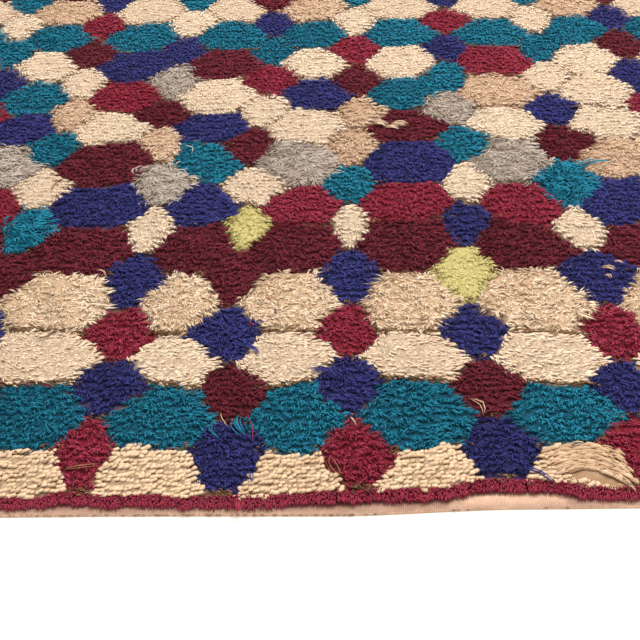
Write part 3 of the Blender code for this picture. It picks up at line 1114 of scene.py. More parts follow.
# The swirl of the locks' headings, in radians, and the swell of the pile's height, as a share of it.
SWIRLS = (Ripple(height=0.7, wavelength=0.05, seed=11), Ripple(height=0.45, wavelength=0.017, seed=13))
SWELL = Ripple(height=0.08, wavelength=0.03, seed=12)


@dataclass
class PileBuilder:
    """The knotted pile: every block's own rows of knots, and the strands that stand in them.

    Near a block's edge the pile is lower, by the share edge_drop over the width edge_fall. Its locks
    reach further there, by up to the share edge_reach, and turn outwards by the share edge_turn.
    """

    lattice: Lattice
    root_height: float = 5.0 * MM
    # How far from its block's middle a knot can be laid out.
    block_across: float = 0.095
    block_along: float = 0.082
    fan_size: float = 0.06
    edge_turn: float = 0.45
    edge_reach: float = 0.5
    edge_drop: float = 0.22
    edge_fall: float = 8 * MM
    # More strands in each knot, within this distance of the rug's sides.
    side_strands: float = 1.5
    side_band: float = 12 * MM
    # How much thicker the strands are, by how closely the photograph looks.
    thicker: tuple[float, float, float] = (1.0, 1.3, 1.7)
    # The wedge that the photograph looks at, and how far along it looks closely and at all.
    view_middle: float = 0.02
    view_half_width: float = 0.36
    view_widening: float = 0.19
    closest_to: float = -0.10
    seen_to: float = 0.40
    mixing: float = 0.02
    hand: np.random.Generator = field(default_factory=lambda: np.random.default_rng(SEED))

    def kinds(self) -> list[Pile]:
        """The kind of pile in each block, by its dye and its row.

        Returns:
            One kind for each block, in the order of their numbers.
        """
        kinds = []
        across = self.lattice.hexagons_across
        hexagons = len(HEXAGON_CHART) * across
        long_ones = {hexagons + row * (across + 1) + column for row, column in LONG_DIAMONDS}
        for number, letter in enumerate(LETTERS):
            row = number // across if number < hexagons else -1
            if letter == "G" or number in long_ones:
                kinds.append(Pile.SHAGGY)
            elif letter in SHORN_DYES:
                kinds.append(Pile.SHORN)
            elif letter == "P":
                kinds.append(Pile.GRAINS)
            elif letter != "I":
                kinds.append(Pile.CUT)
            else:
                kinds.append(Pile.SMALL_GRAINS if row in SMALL_GRAIN_ROWS else Pile.ROWS)
        return kinds

    def level(self, x: Array, y: Array) -> Array:
        """How closely the photograph looks at each place: 0 closest, 1 from further off, 2 elsewhere.

        It looks into a wedge that widens away from the near end. The levels mix a little where they
        meet.

        Args:
            x: places across.
            y: places along.

        Returns:
            The level of each place.
        """
        widening = self.view_widening * (y + self.lattice.half_length)
        beside = np.abs(x - self.view_middle) - self.view_half_width - widening
        beside = beside + self.hand.uniform(-self.mixing, self.mixing, len(x))
        beyond = y + self.hand.uniform(-self.mixing, self.mixing, len(x))
        seen = np.where(beyond > self.closest_to, 1, 0)
        return np.where((beside > 0.0) | (beyond > self.seen_to), 2, seen)

    def at_edge(self, depth: Array) -> Array:
        """How near a knot is to its block's edge: 1 within 1 mm of it, 0 from 9 mm on."""
        return 1.0 - smooth(depth, 1.0 * MM, 9.0 * MM)

    def knots(self, pile: Pile, blocks: Array) -> tuple[Array, Array, Array, Array, Array]:
        """Lay out the knots of the blocks that have one kind of pile.

        Each block has its own rows, a little slanted, bowed and waved. Its knots are the crossings of
        those rows with the warps that fall inside the block.

        Args:
            pile: the kind of pile.
            blocks: the blocks' numbers.

        Returns:
            X, Y, block, depth inside the block, and the slant of the row, for each knot.
        """
        habit = pile.value
        middle_x, middle_y = self.lattice.middles()
        half_across = int(self.block_across / habit.knot_pitch)
        half_along = int(self.block_along / habit.row_pitch)
        u = np.arange(-half_across, half_across + 1) * habit.knot_pitch
        v = np.arange(-half_along, half_along + 1) * habit.row_pitch
        slant = self.hand.normal(0.03, 0.05, len(blocks))
        stretch = self.hand.uniform(0.94, 1.18, (len(blocks), 1, 1))
        bow = self.hand.normal(0.0, 0.4, len(blocks))
        phase = self.hand.uniform(-0.5, 0.5, (len(blocks), 2))
        starts = [self.hand.uniform(0.0, 2.0 * np.pi, (len(blocks), 1, len(v))) for _ in ROW_WAVES]
        uneven = self.hand.normal(0.0, 0.1 * habit.row_pitch, (len(blocks), 1, len(v)))
        shape = (len(blocks), len(u), len(v))
        across = np.broadcast_to(u[None, :, None] + phase[:, :1, None] * habit.knot_pitch, shape)
        along = np.broadcast_to(v[None, None, :] * stretch + phase[:, 1:, None] * habit.row_pitch, shape)
        along = along + uneven
        for (height, length), start in zip(ROW_WAVES, starts):
            along = along + height * np.sin(across * 2.0 * np.pi / length + start)
        along = along + bow[:, None, None] * across**2
        tilt = slant[:, None, None]
        x = middle_x[blocks][:, None, None] + across * np.cos(tilt) - along * np.sin(tilt)
        y = middle_y[blocks][:, None, None] + across * np.sin(tilt) + along * np.cos(tilt)
        own = np.broadcast_to(blocks[:, None, None], shape).ravel()
        turn = np.broadcast_to(tilt, shape).ravel()
        x = x.ravel() + self.hand.uniform(-1.0, 1.0, x.size) * habit.jitter
        y = y.ravel() + self.hand.uniform(-1.0, 1.0, y.size) * habit.jitter
        found = self.lattice.look_up(x, y)
        kept = (found.block == own) & (found.depth > habit.gap) & (PARTED.depth(x, y) < 0)
        if habit.clear:
            kept &= self.lattice.look_up(x, y - habit.clear).block == own
        if pile is Pile.GRAINS:
            kept &= COMBED.depth(x, y) < 0
        return x[kept], y[kept], own[kept], found.depth[kept], turn[kept]

    def headings(self, habit: Habit, x: Array, y: Array, block: Array, depth: Array) -> Array:
        """Which way each knot's lock lies.

        The locks lean towards the near end and fan out to both sides of their block, with each block's
        own lean and a slow swirl. Those at a block's edge turn outwards.

        Args:
            habit: how the pile grows.
            x: the knots' places across.
            y: the knots' places along.
            block: the knots' blocks.
            depth: how deep inside its block each knot lies.

        Returns:
            The headings.
        """
        middle_x, middle_y = self.lattice.middles()
        fanned = np.arctan2(
            habit.fan_along * (y - middle_y[block]) / self.fan_size - 1.0,
            habit.fan * (x - middle_x[block]) / self.fan_size,
        )
        lean = self.hand.normal(0.0, 0.3, len(LETTERS))[block]
        swirl = sum(turns.at(x, y) for turns in SWIRLS)
        heading = fanned + habit.slant + habit.swirl * (lean + swirl)
        heading = heading + self.hand.normal(0.0, habit.splay, len(x))
        outwards = np.arctan2(y - middle_y[block], x - middle_x[block])
        turned = np.angle(np.exp(1j * (outwards - heading)))
        return heading + habit.swirl * self.edge_turn * self.at_edge(depth) * turned

    def strands(self, pile: Pile, blocks: Array) -> tuple[Strands, Array, Array]:
        """Grow the strands of the blocks that have one kind of pile.

        The strands of a knot lie side by side as one lock, lower and with painted shade at its flanks.
        The lower a lock lies, the further it reaches. The pile is lower towards a block's edge, and its
        locks are longer there. It is thicker at the rug's side edges, where nothing hides the ground.

        Args:
            pile: the kind of pile.
            blocks: the blocks' numbers.

        Returns:
            The strands, each one's block, and how closely the photograph looks at it.
        """
        habit = pile.value
        x, y, block, depth, turn = self.knots(pile, blocks)
        level = self.level(x, y)
        wanted = np.array(habit.strands)[level] + self.hand.uniform(-0.5, 0.5, len(x))
        wanted = wanted + self.side_strands * (self.lattice.half_width - np.abs(x) < self.side_band)
        most = math.ceil(max(habit.strands))
        chosen = np.arange(most)[None, :] < np.round(wanted)[:, None]
        number = int(chosen.sum())
        knot = np.broadcast_to(np.arange(len(x))[:, None], chosen.shape)[chosen]
        nth = np.broadcast_to(np.arange(most)[None, :], chosen.shape)[chosen]
        longer = habit.swirl * self.edge_reach * self.at_edge(depth)
        lying = self.hand.uniform(0.7, 1.2, len(x))
        lying = lying * (1.0 + longer * self.hand.uniform(0.0, 1.0, len(x)))
        crown = 1.0 - self.edge_drop * (1.0 - smooth(depth, 0.0, self.edge_fall)) + SWELL.at(x, y)
        lift = habit.rise * crown * (1.3 - 0.3 * np.minimum(lying, 1.3))
        lift = lift * self.hand.uniform(0.85, 1.15, len(x))
        block_tone = self.hand.normal(0.0, 0.10, len(LETTERS))
        lock_tone = self.hand.normal(habit.tone, 0.18, len(x)) + block_tone[block]
        lock_curl = self.hand.normal(0.0, 0.9, len(x))
        lock_heading = (self.headings(habit, x, y, block, depth) + turn)[knot]
        flank = 2.0 * (nth + 0.5) / np.maximum(np.round(wanted), 1.0)[knot] - 1.0
        heading = lock_heading - habit.gathered * flank + self.hand.normal(0.0, habit.stray, number)
        reach = habit.reach * lying[knot] * self.hand.uniform(0.8, 1.12, number)
        aside = habit.across * (flank + self.hand.normal(0.0, 0.15, number))
        back = habit.along * self.hand.uniform(-1.0, 1.0, number) - 0.45 * reach
        thick = np.array(self.thicker)[level[knot]]
        made = Strands(
            root=np.stack([
                x[knot] - aside * np.sin(lock_heading) + back * np.cos(lock_heading),
                y[knot] + aside * np.cos(lock_heading) + back * np.sin(lock_heading),
                np.full(number, self.root_height),
            ], axis=1),
            heading=heading,
            reach=reach,
            rise=lift[knot] * (1.0 - 0.25 * flank**2) * self.hand.uniform(0.9, 1.1, number),
            sag=habit.sag * self.hand.uniform(0.3, 1.3, number),
            curl=habit.curl * (lock_curl[knot] + self.hand.normal(0.0, 0.35, number)),
            radius=habit.radius * thick * self.hand.uniform(0.8, 1.15, number),
            tone=np.clip(lock_tone[knot] + self.hand.normal(0.0, 0.15, number), 0.0, 1.2),
            # Painted shade at the lock's flanks.
            light=(1.0 - 0.4 * flank**2) * self.hand.uniform(0.85, 1.0, number),
        )
        return made, block[knot], level[knot]

    def build(self) -> list[bpy.types.Object]:
        """Build the whole pile: two joined pieces for each dye, one where the photograph looks closely.

        Returns:
            The pieces.
        """
        kinds = self.kinds()
        bundles: dict[tuple[str, str], Bundle] = {}
        for pile in Pile:
            blocks = np.array([number for number, kind in enumerate(kinds) if kind is pile])
            strands, block, level = self.strands(pile, blocks)
            letters = np.array(list(LETTERS))[block]
            for letter in sorted(set(letters)):
                for place, cut in enumerate(pile.value.cuts):
                    bundle = bundles.setdefault((letter, "near" if place == 0 else "far"), Bundle())
                    bundle.add(strands.pick((letters == letter) & (level == place)), cut)
        finishes = {letter: DYES[letter].material() for letter in sorted({key[0] for key in bundles})}
        pieces = []
        for (letter, part), bundle in sorted(bundles.items()):
            name = f"{DYES[letter].name.replace('_wool', '')}_pile_{part}"
            pieces.append(bundle.piece(name, finishes[letter]))
        return pieces


@dataclass
class BorderRow:
    """The furry row of crimson knots along each end.

    Its strands stand in a band along the row's line, from so many millimetres outside it to so many
    inside it. Where the photograph doesn't see the row, one strand in unseen_share is kept, and is
    unseen_thicker times as thick.
    """

    lattice: Lattice
    pitch: float = 7.75 * MM
    strands: int = 66
    band: tuple[float, float] = (-4.0, 6.5)
    reach: float = 9.5 * MM
    rise: float = 8.2 * MM
    radius: float = 0.95 * MM
    root_height: float = 3.0 * MM
    seen_middle: float = 0.04
    seen_half_width: float = 0.42
    unseen_share: int = 4
    unseen_thicker: float = 1.9

    def build(self, end: int, material: bpy.types.Material) -> bpy.types.Object:
        """Build one end's row.

        The strands of a knot stand in a fan that leans out over the bare strip, from nearly upright
        to nearly flat.

        Args:
            end: -1 for the near end, 1 for the far one.
            material: the wool's finish.

        Returns:
            The piece.
        """
        hand = np.random.default_rng(SEED + 5 + end)
        last_knot = self.lattice.half_width - 2 * MM
        last_strand = self.lattice.half_width - 1 * MM
        knots = np.arange(-last_knot, last_knot, self.pitch)
        number = len(knots) * self.strands
        knot = np.repeat(np.arange(len(knots)), self.strands)
        flank = hand.uniform(-1.0, 1.0, number)
        x = np.clip(knots[knot] + 0.62 * self.pitch * flank, -last_strand, last_strand)
        inwards = hand.uniform(*self.band, number) * MM
        knot_inwards = hand.normal(0.0, 1.0, len(knots))[knot] * MM
        y = self.lattice.border_line(x, end, 0.0) - end * (inwards + knot_inwards)
        outwards = 1.0 - smooth(inwards, self.band[0] * MM, self.band[1] * MM)
        heading = end * np.pi / 2 + hand.normal(0.0, 0.3, len(knots))[knot]
        heading = heading + hand.normal(0.0, 0.2, number)
        length = hand.uniform(0.85, 1.15, len(knots))[knot]
        lift = self.rise * (1.1 - 0.4 * outwards - 0.15 * flank**2) * length**0.5
        strands = Strands(
            root=np.stack([x, y, np.full(number, self.root_height)], axis=1),
            heading=heading,
            reach=self.reach * (0.3 + 0.8 * outwards) * length * hand.uniform(0.7, 1.2, number),
            rise=lift * hand.uniform(0.8, 1.1, number),
            sag=3.0 * MM * outwards,
            curl=1.2 * MM * hand.normal(0.0, 1.0, number),
            radius=self.radius * hand.uniform(0.85, 1.2, number),
            tone=np.clip(
                hand.normal(0.9, 0.25, len(knots))[knot] + hand.normal(0.0, 0.2, number), 0.0, 1.3
            ),
            # Painted shade at the knot's flanks and on the strands that lean out over the strip.
            light=(1.0 - 0.3 * flank**2) * (1.0 - 0.2 * outwards**2) * hand.uniform(0.8, 1.0, number),
        )
        seen = (np.abs(x - self.seen_middle) < self.seen_half_width) & (end < 0)
        bundle = Bundle()
        bundle.add(strands.pick(seen), SPIKE)
        strands.radius = strands.radius * self.unseen_thicker
        bundle.add(strands.pick(~seen & (np.arange(number) % self.unseen_share == 0)), SPIKE)
        return bundle.piece("crimson_border_near" if end < 0 else "crimson_border_far", material)


# What lies between and over the blocks.


# The seams with thick weft, and how many yarns lie in each.
SEAM_YARNS = {1: 1, 2: 3, 14: 2}


@dataclass
class BrownWeft:
    """The brown weft where it shows: yarns on some seams, short ends along them and at the corners.

    A row of small brown stitches also holds each end of the cloth.
    """

    lattice: Lattice
    root_height: float = 9.0 * MM
    yarn_radius: float = 1.0 * MM
    yarns_to_a_seam: int = 3
    end_radius: float = 1.1 * MM
    fuzz_lift: float = 2.4 * MM
    end_lift: float = 1.0 * MM
    # This many more short ends lie where a diamond's tip stands on a border row.
    border_ends: int = 22
    stitch_pitch: float = 6.0 * MM
    stitch_radius: float = 0.55 * MM
    stitch_height: float = 1.6 * MM
    stitch_rise: float = 0.8 * MM
    hand: np.random.Generator = field(default_factory=lambda: np.random.default_rng(SEED + 20))

    def gather(self, x: Array, y: Array, heading: Array, reach: Array, radius: float) -> Strands:
        """Make strands that lie nearly flat, at the height of the seams.

        Args:
            x: where they start, across.
            y: where they start, along.
            heading: which way they run.
            reach: how far.
            radius: half their usual thickness.

        Returns:
            The strands.
        """
        number = len(x)
        return Strands(
            root=np.stack([x, y, np.full(number, self.root_height)], axis=1),
            heading=heading,
            reach=reach,
            rise=self.hand.uniform(1.2, 3.2, number) * MM,
            sag=self.hand.uniform(0.0, 1.5, number) * MM,
            curl=self.hand.normal(0.0, 0.06, number) * reach,
            radius=radius * self.hand.uniform(0.7, 1.3, number),
            tone=np.clip(self.hand.normal(0.4, 0.3, number), 0.0, 1.0),
            light=self.hand.uniform(0.5, 1.0, number),
        )

    def yarns(self) -> Strands:
        """Lay yarns along the seams, end to end: seldom, and more of them where the weft is thick.

        Returns:
            The strands.
        """
        lattice = self.lattice
        shape = (lattice.hexagons_across, lattice.diamond_rows, self.yarns_to_a_seam)
        gap, row, nth = (grid.ravel() for grid in np.indices(shape))
        seldom = (self.hand.uniform(0.0, 1.0, row.size) < 0.08).astype(int)
        thick = np.select([row == seam for seam in SEAM_YARNS], list(SEAM_YARNS.values()), seldom)
        gap, row, nth = (np.repeat(values, thick) for values in (gap, row, nth))
        start, stop = lattice.right_x[gap, row], lattice.left_x[gap + 1, row]
        piece = (stop - start) / self.yarns_to_a_seam
        x = start + piece * nth + self.hand.uniform(-6.0, 6.0, len(row)) * MM
        here = np.arange(len(row))
        y = lattice.seam_y(gap, x)[here, row] + self.hand.normal(1.0, 1.3, len(row)) * MM
        slope = (lattice.shoulder_y[gap + 1, row] - lattice.shoulder_y[gap, row]) / (stop - start)
        return self.gather(x, y, np.arctan(slope), piece * 1.2, self.yarn_radius)

    def fuzz(self) -> Strands:
        """Scatter short ends along the seams, most along the two around the second row of ivory.

        Of those two, the near one has most of them at the right, and the far one at the left.

        Returns:
            The strands.
        """
        lattice = self.lattice
        shape = (lattice.hexagons_across, lattice.diamond_rows)
        gap, row = (grid.ravel() for grid in np.indices(shape))
        counts = np.select([row == 1, row == 2, row >= 13], [6 + 6 * gap, 54 - 9 * gap, 16], 2)
        gap, row = (np.repeat(values, np.maximum(counts, 0)) for values in (gap, row))
        start, stop = lattice.right_x[gap, row], lattice.left_x[gap + 1, row]
        x = start + (stop - start) * self.hand.uniform(0.0, 1.0, gap.size)
        y = lattice.seam_y(gap, x)[np.arange(gap.size), row] + self.hand.normal(0.0, 1.5, gap.size) * MM
        heading = self.hand.normal(0.0, 0.35, gap.size) + np.pi * self.hand.integers(0, 2, gap.size)
        reach = self.hand.uniform(5.0, 12.0, gap.size) * MM
        made = self.gather(x, y, heading, reach, self.end_radius)
        made.root[:, 2] += self.fuzz_lift
        return made

    def ends(self) -> Strands:
        """Scatter short ends at the shoulders and tips of the diamonds, mostly lying across.

        Those at a border row lie 3 mm further in.

        Returns:
            The strands.
        """
        lattice = self.lattice
        shoulder_y = np.concatenate([lattice.shoulder_y.ravel()] * 2)
        shoulder_x = np.concatenate([lattice.left_x.ravel(), lattice.right_x.ravel()])
        x = np.concatenate([shoulder_x, lattice.tip_x.ravel()])
        y = np.concatenate([shoulder_y, lattice.tip_y.ravel()])
        counts = self.hand.integers(2, 14, x.size)
        at_border = np.zeros(lattice.tip_y.shape, dtype=bool)
        at_border[:, [0, -1]] = True
        counts[shoulder_x.size:] += self.border_ends * at_border.ravel()
        x, y = np.repeat(x, counts), np.repeat(y, counts)
        last_row = (lattice.diamond_rows - 1) / 2 * lattice.row_pitch
        y = y - np.sign(y) * 3 * MM * (np.abs(y) > last_row + 30 * MM)
        x = x + self.hand.normal(0.0, 6.0, x.size) * MM
        y = y + self.hand.normal(0.0, 3.5, y.size) * MM
        inside = np.abs(x) < lattice.half_width - 8 * MM
        x, y = x[inside], y[inside]
        heading = self.hand.normal(0.0, 0.4, x.size) + np.pi * self.hand.integers(0, 2, x.size)
        made = self.gather(x, y, heading, self.hand.uniform(4.0, 10.0, x.size) * MM, self.end_radius)
        made.root[:, 2] += self.end_lift
        return made

    def stitches(self, end: int) -> Strands:
        """Sew a row of stitches along an end of the cloth, worn away in places, most at the right.

        Args:
            end: -1 for the near end, 1 for the far one.

        Returns:
            The strands.
        """
        half = self.lattice.half_width
        x = np.arange(6 * MM - half, half - 12 * MM, self.stitch_pitch)
        x = x + self.hand.uniform(-2.5, 2.5, x.size) * MM
        left_over = 0.85 - 0.7 * smooth(x, 0.02, 0.16)
        x = x[self.hand.uniform(0.0, 1.0, x.size) < left_over]
        y = self.lattice.end_line(x, end) + end * 0.5 * MM
        reach = self.hand.uniform(2.0, 8.0, x.size) * MM
        stitches = self.gather(x, y, np.zeros(x.size), reach, self.stitch_radius)
        stitches.root[:, 2] = self.stitch_height
        stitches.rise[:] = self.stitch_rise
        stitches.tone[:] = 0.0
        return stitches

    def build(self) -> bpy.types.Object:
        """Join the yarns, the ends and the stitches into one piece.

        Returns:
            The piece.
        """
        bundle = Bundle()
        bundle.add(self.yarns(), LONG)
        bundle.add(self.fuzz(), SPIKE)
        bundle.add(self.ends(), SPIKE)
        for end in (-1, 1):
            bundle.add(self.stitches(end), SPIKE)
        return bundle.piece("brown_weft", DYES["W"].material())


@dataclass(frozen=True)
class LooseEnd:
    """A few stray strands together: their dye, and where they start and stop, in millimetres."""

    dye: str
    start: tuple[int, int]
    stop: tuple[int, int]
    strands: int = 1
    bow: float = 0.1


LOOSE_ENDS = (
    LooseEnd(dye="B", start=(253, -1008), stop=(291, -1036), strands=4),
    LooseEnd(dye="T", start=(-89, -920), stop=(-78, -955), strands=2, bow=-0.2),
    LooseEnd(dye="R", start=(-53, -907), stop=(-43, -967), strands=1),
    LooseEnd(dye="A", start=(-83, -903), stop=(-71, -936), strands=1, bow=-0.1),
    LooseEnd(dye="T", start=(-62, -908), stop=(-50, -948), strands=9, bow=-0.2),
    LooseEnd(dye="B", start=(-44, -1010), stop=(-38, -1032), strands=3),
    LooseEnd(dye="R", start=(-54, -1056), stop=(-52, -1078), strands=7),
    LooseEnd(dye="A", start=(204, -882), stop=(222, -919), strands=2, bow=0.2),
    LooseEnd(dye="A", start=(67, -914), stop=(76, -934), strands=2),
    LooseEnd(dye="B", start=(56, -848), stop=(20, -825), strands=14, bow=-0.2),
    LooseEnd(dye="B", start=(-66, -772), stop=(-46, -796), strands=8, bow=0.2),
    LooseEnd(dye="W", start=(-309, -738), stop=(-328, -758), strands=2),
    LooseEnd(dye="W", start=(-256, -1005), stop=(-209, -997), strands=2, bow=-0.08),
    LooseEnd(dye="W", start=(46, -984), stop=(60, -1024), strands=2, bow=-0.05),
    LooseEnd(dye="I", start=(242, -703), stop=(253, -726), strands=5, bow=0.3),
    LooseEnd(dye="I", start=(209, -672), stop=(214, -685), strands=4),
    LooseEnd(dye="F", start=(355, -702), stop=(380, -728), strands=5, bow=-0.1),
    LooseEnd(dye="F", start=(-330, -618), stop=(-356, -604), strands=2, bow=-0.3),
    LooseEnd(dye="F", start=(-262, -616), stop=(-278, -598), strands=2, bow=-0.2),
    LooseEnd(dye="A", start=(400, -604), stop=(420, -612), strands=5),
    LooseEnd(dye="A", start=(420, -590), stop=(432, -596), strands=4),
    LooseEnd(dye="A", start=(404, -622), stop=(412, -632), strands=4),
    LooseEnd(dye="I", start=(-198, -241), stop=(-180, -273), strands=1, bow=0.3),
    LooseEnd(dye="W", start=(-363, -337), stop=(-378, -385), strands=2, bow=-0.1),
    LooseEnd(dye="T", start=(406, -330), stop=(438, -306), strands=5, bow=0.1),
    LooseEnd(dye="T", start=(418, -322), stop=(458, -313), strands=3, bow=0.1),
    LooseEnd(dye="A", start=(102, -176), stop=(124, -184), strands=14),
    LooseEnd(dye="A", start=(118, -188), stop=(142, -196), strands=14),
    LooseEnd(dye="A", start=(130, -176), stop=(154, -186), strands=12),
    LooseEnd(dye="M", start=(-331, -851), stop=(-318, -860), strands=3, bow=0.25),
    LooseEnd(dye="M", start=(-306, -857), stop=(-290, -861), strands=3, bow=0.25),
    LooseEnd(dye="B", start=(-51, -722), stop=(-46, -729), strands=3, bow=0.4),
    LooseEnd(dye="R", start=(-66, -727), stop=(-56, -736), strands=2, bow=0.3),
    LooseEnd(dye="B", start=(-30, -694), stop=(-27, -706), strands=3),
)


@dataclass
class LooseEnds:
    """Stray ends of yarn that lie over their neighbours."""

    root_height: float = 12.5 * MM
    radius: float = 0.65 * MM
    hand: np.random.Generator = field(default_factory=lambda: np.random.default_rng(SEED + 30))

    def build(self) -> list[bpy.types.Object]:
        """Build them: one joined piece for each dye.

        The more strands an end has, the more they spread: usually by up to 4 mm where they start, and
        1.4 times as far where they stop.

        Returns:
            The pieces.
        """
        pieces = []
        for dye in sorted({end.dye for end in LOOSE_ENDS}):
            ends = [end for end in LOOSE_ENDS if end.dye == dye]
            counts = [end.strands for end in ends]
            number = sum(counts)
            start = np.repeat([end.start for end in ends], counts, axis=0) * MM
            stop = np.repeat([end.stop for end in ends], counts, axis=0) * MM
            spread = np.minimum(4.0, 0.6 + 0.12 * np.repeat(counts, counts))[:, None] * MM
            start = start + self.hand.normal(0.0, 1.0, (number, 2)) * spread
            run = stop + self.hand.normal(0.0, 1.4, (number, 2)) * spread - start
            reach = np.hypot(run[:, 0], run[:, 1])
            bow = np.repeat([end.bow for end in ends], counts) + self.hand.normal(0.0, 0.07, number)
            strands = Strands(
                root=np.column_stack([start, np.full(number, self.root_height)]),
                heading=np.arctan2(run[:, 1], run[:, 0]),
                reach=reach,
                rise=self.hand.uniform(2.0, 4.0, number) * MM,
                sag=self.hand.uniform(0.5, 2.0, number) * MM,
                curl=reach * bow,
                radius=self.radius * self.hand.uniform(0.8, 1.2, number),
                tone=self.hand.uniform(0.3, 1.0, number),
                light=np.ones(number),
            )
            bundle = Bundle()
            bundle.add(strands, LONG)
            finish = bpy.data.materials[DYES[dye].name]
            pieces.append(bundle.piece(f"{DYES[dye].name.replace('_wool', '')}_loose_ends", finish))
        return pieces


@dataclass(frozen=True)
class CombedLocks:
    """One kind of combed lock: how many, how high and how far off a curve they start, and their size."""

    number: int
    height: float
    scatter: float
    reach: float
    radius: float


FOLDED_LOCKS = CombedLocks(number=90, height=8.5 * MM, scatter=1.6 * MM, reach=30 * MM, radius=3.6 * MM)
FINE_LOCKS = CombedLocks(number=130, height=9.6 * MM, scatter=3.4 * MM, reach=26 * MM, radius=1.1 * MM)


@dataclass
class CombedCorner:
    """The near right part of the ivory, where the knots are combed long to the right.

    Its locks follow a few curves, from a gentle one at the top to a steeper one above the bare place:
    broad folded ones, and fine ones over them. A short fringe hangs from the bare place over the
    border row.
    """

    rows: int = 5
    upper: tuple[tuple[float, float], ...] = ((0.274, -0.986), (0.348, -0.951), (0.374, -0.992))
    lower: tuple[tuple[float, float], ...] = ((0.288, -1.020), (0.333, -0.984), (0.382, -1.042))
    fringe_from: tuple[float, float] = (0.293, -1.017)
    fringe_to: tuple[float, float] = (0.356, -1.036)
    fringe_strands: int = 90
    fringe_height: float = 9 * MM
    hand: np.random.Generator = field(default_factory=lambda: np.random.default_rng(SEED + 40))

    def locks(self, kind: CombedLocks) -> Strands:
        """Lay locks along the curves.

        A curve between the upper and the lower one is (1-t)^2 of its first point, 2t(1-t) of its second
        and t^2 of its last, and each lock runs along the curve's slope where it starts.

        Args:
            kind: the kind of lock.

        Returns:
            The strands.
        """
        number = kind.number
        row = self.hand.integers(0, self.rows, number) / (self.rows - 1)
        along = self.hand.uniform(0.0, 0.92, number)
        lower = row[:, None, None]
        points = np.array(self.upper)[None] * (1 - lower) + np.array(self.lower)[None] * lower
        first, second, third = points[:, 0], points[:, 1], points[:, 2]
        t = along[:, None]
        place = (1 - t) ** 2 * first + 2 * t * (1 - t) * second + t**2 * third
        place = place + self.hand.normal(0.0, kind.scatter, (number, 2))
        slope = 2 * (1 - t) * (second - first) + 2 * t * (third - second)
        return Strands(
            root=np.column_stack([place, np.full(number, kind.height)]),
            heading=np.arctan2(slope[:, 1], slope[:, 0]) + self.hand.normal(0.0, 0.08, number) - 0.15,
            reach=kind.reach * self.hand.uniform(0.7, 1.1, number) * (1.0 - 0.4 * along),
            rise=self.hand.uniform(3.0, 4.2, number) * MM,
            sag=self.hand.uniform(0.5, 2.0, number) * MM,
            curl=0.05 * kind.reach * (1.0 + self.hand.normal(0.0, 0.5, number)),
            radius=kind.radius * self.hand.uniform(0.75, 1.15, number),
            tone=np.clip(self.hand.normal(0.2, 0.25, number), 0.0, 1.0),
            light=self.hand.uniform(0.6, 0.95, number),
        )

    def build(self) -> bpy.types.Object:
        """Build the folds, the fine locks and the fringe.

        Returns:
            The piece.
        """
        folds = self.locks(FOLDED_LOCKS)
        fine = self.locks(FINE_LOCKS)
        number = self.fringe_strands
        t = self.hand.uniform(0.0, 1.0, (number, 1))
        place = np.array(self.fringe_from) * (1 - t) + np.array(self.fringe_to) * t
        place = place + self.hand.normal(0.0, 1.0, (number, 2)) * MM
        fringe = Strands(
            root=np.column_stack([place, np.full(number, self.fringe_height)]),
            heading=self.hand.normal(-1.25, 0.3, number),
            reach=self.hand.uniform(4.0, 9.0, number) * MM,
            rise=self.hand.uniform(2.0, 3.5, number) * MM,
            sag=self.hand.uniform(0.0, 2.0, number) * MM,
            curl=self.hand.normal(0.0, 0.8, number) * MM,
            radius=self.hand.uniform(0.5, 0.9, number) * MM,
            tone=self.hand.uniform(0.3, 1.0, number),
            light=np.ones(number),
        )
        bundle = Bundle()
        bundle.add(folds, FOLD)
        bundle.add(fine, LONG)
        bundle.add(fringe, SPIKE)
        return bundle.piece("combed_ivory_locks", bpy.data.materials[DYES["P"].name])


# The ground cloth.


# The dyes whose blocks rise to the height of the grains.
GRAIN_DYES = "PFAY"


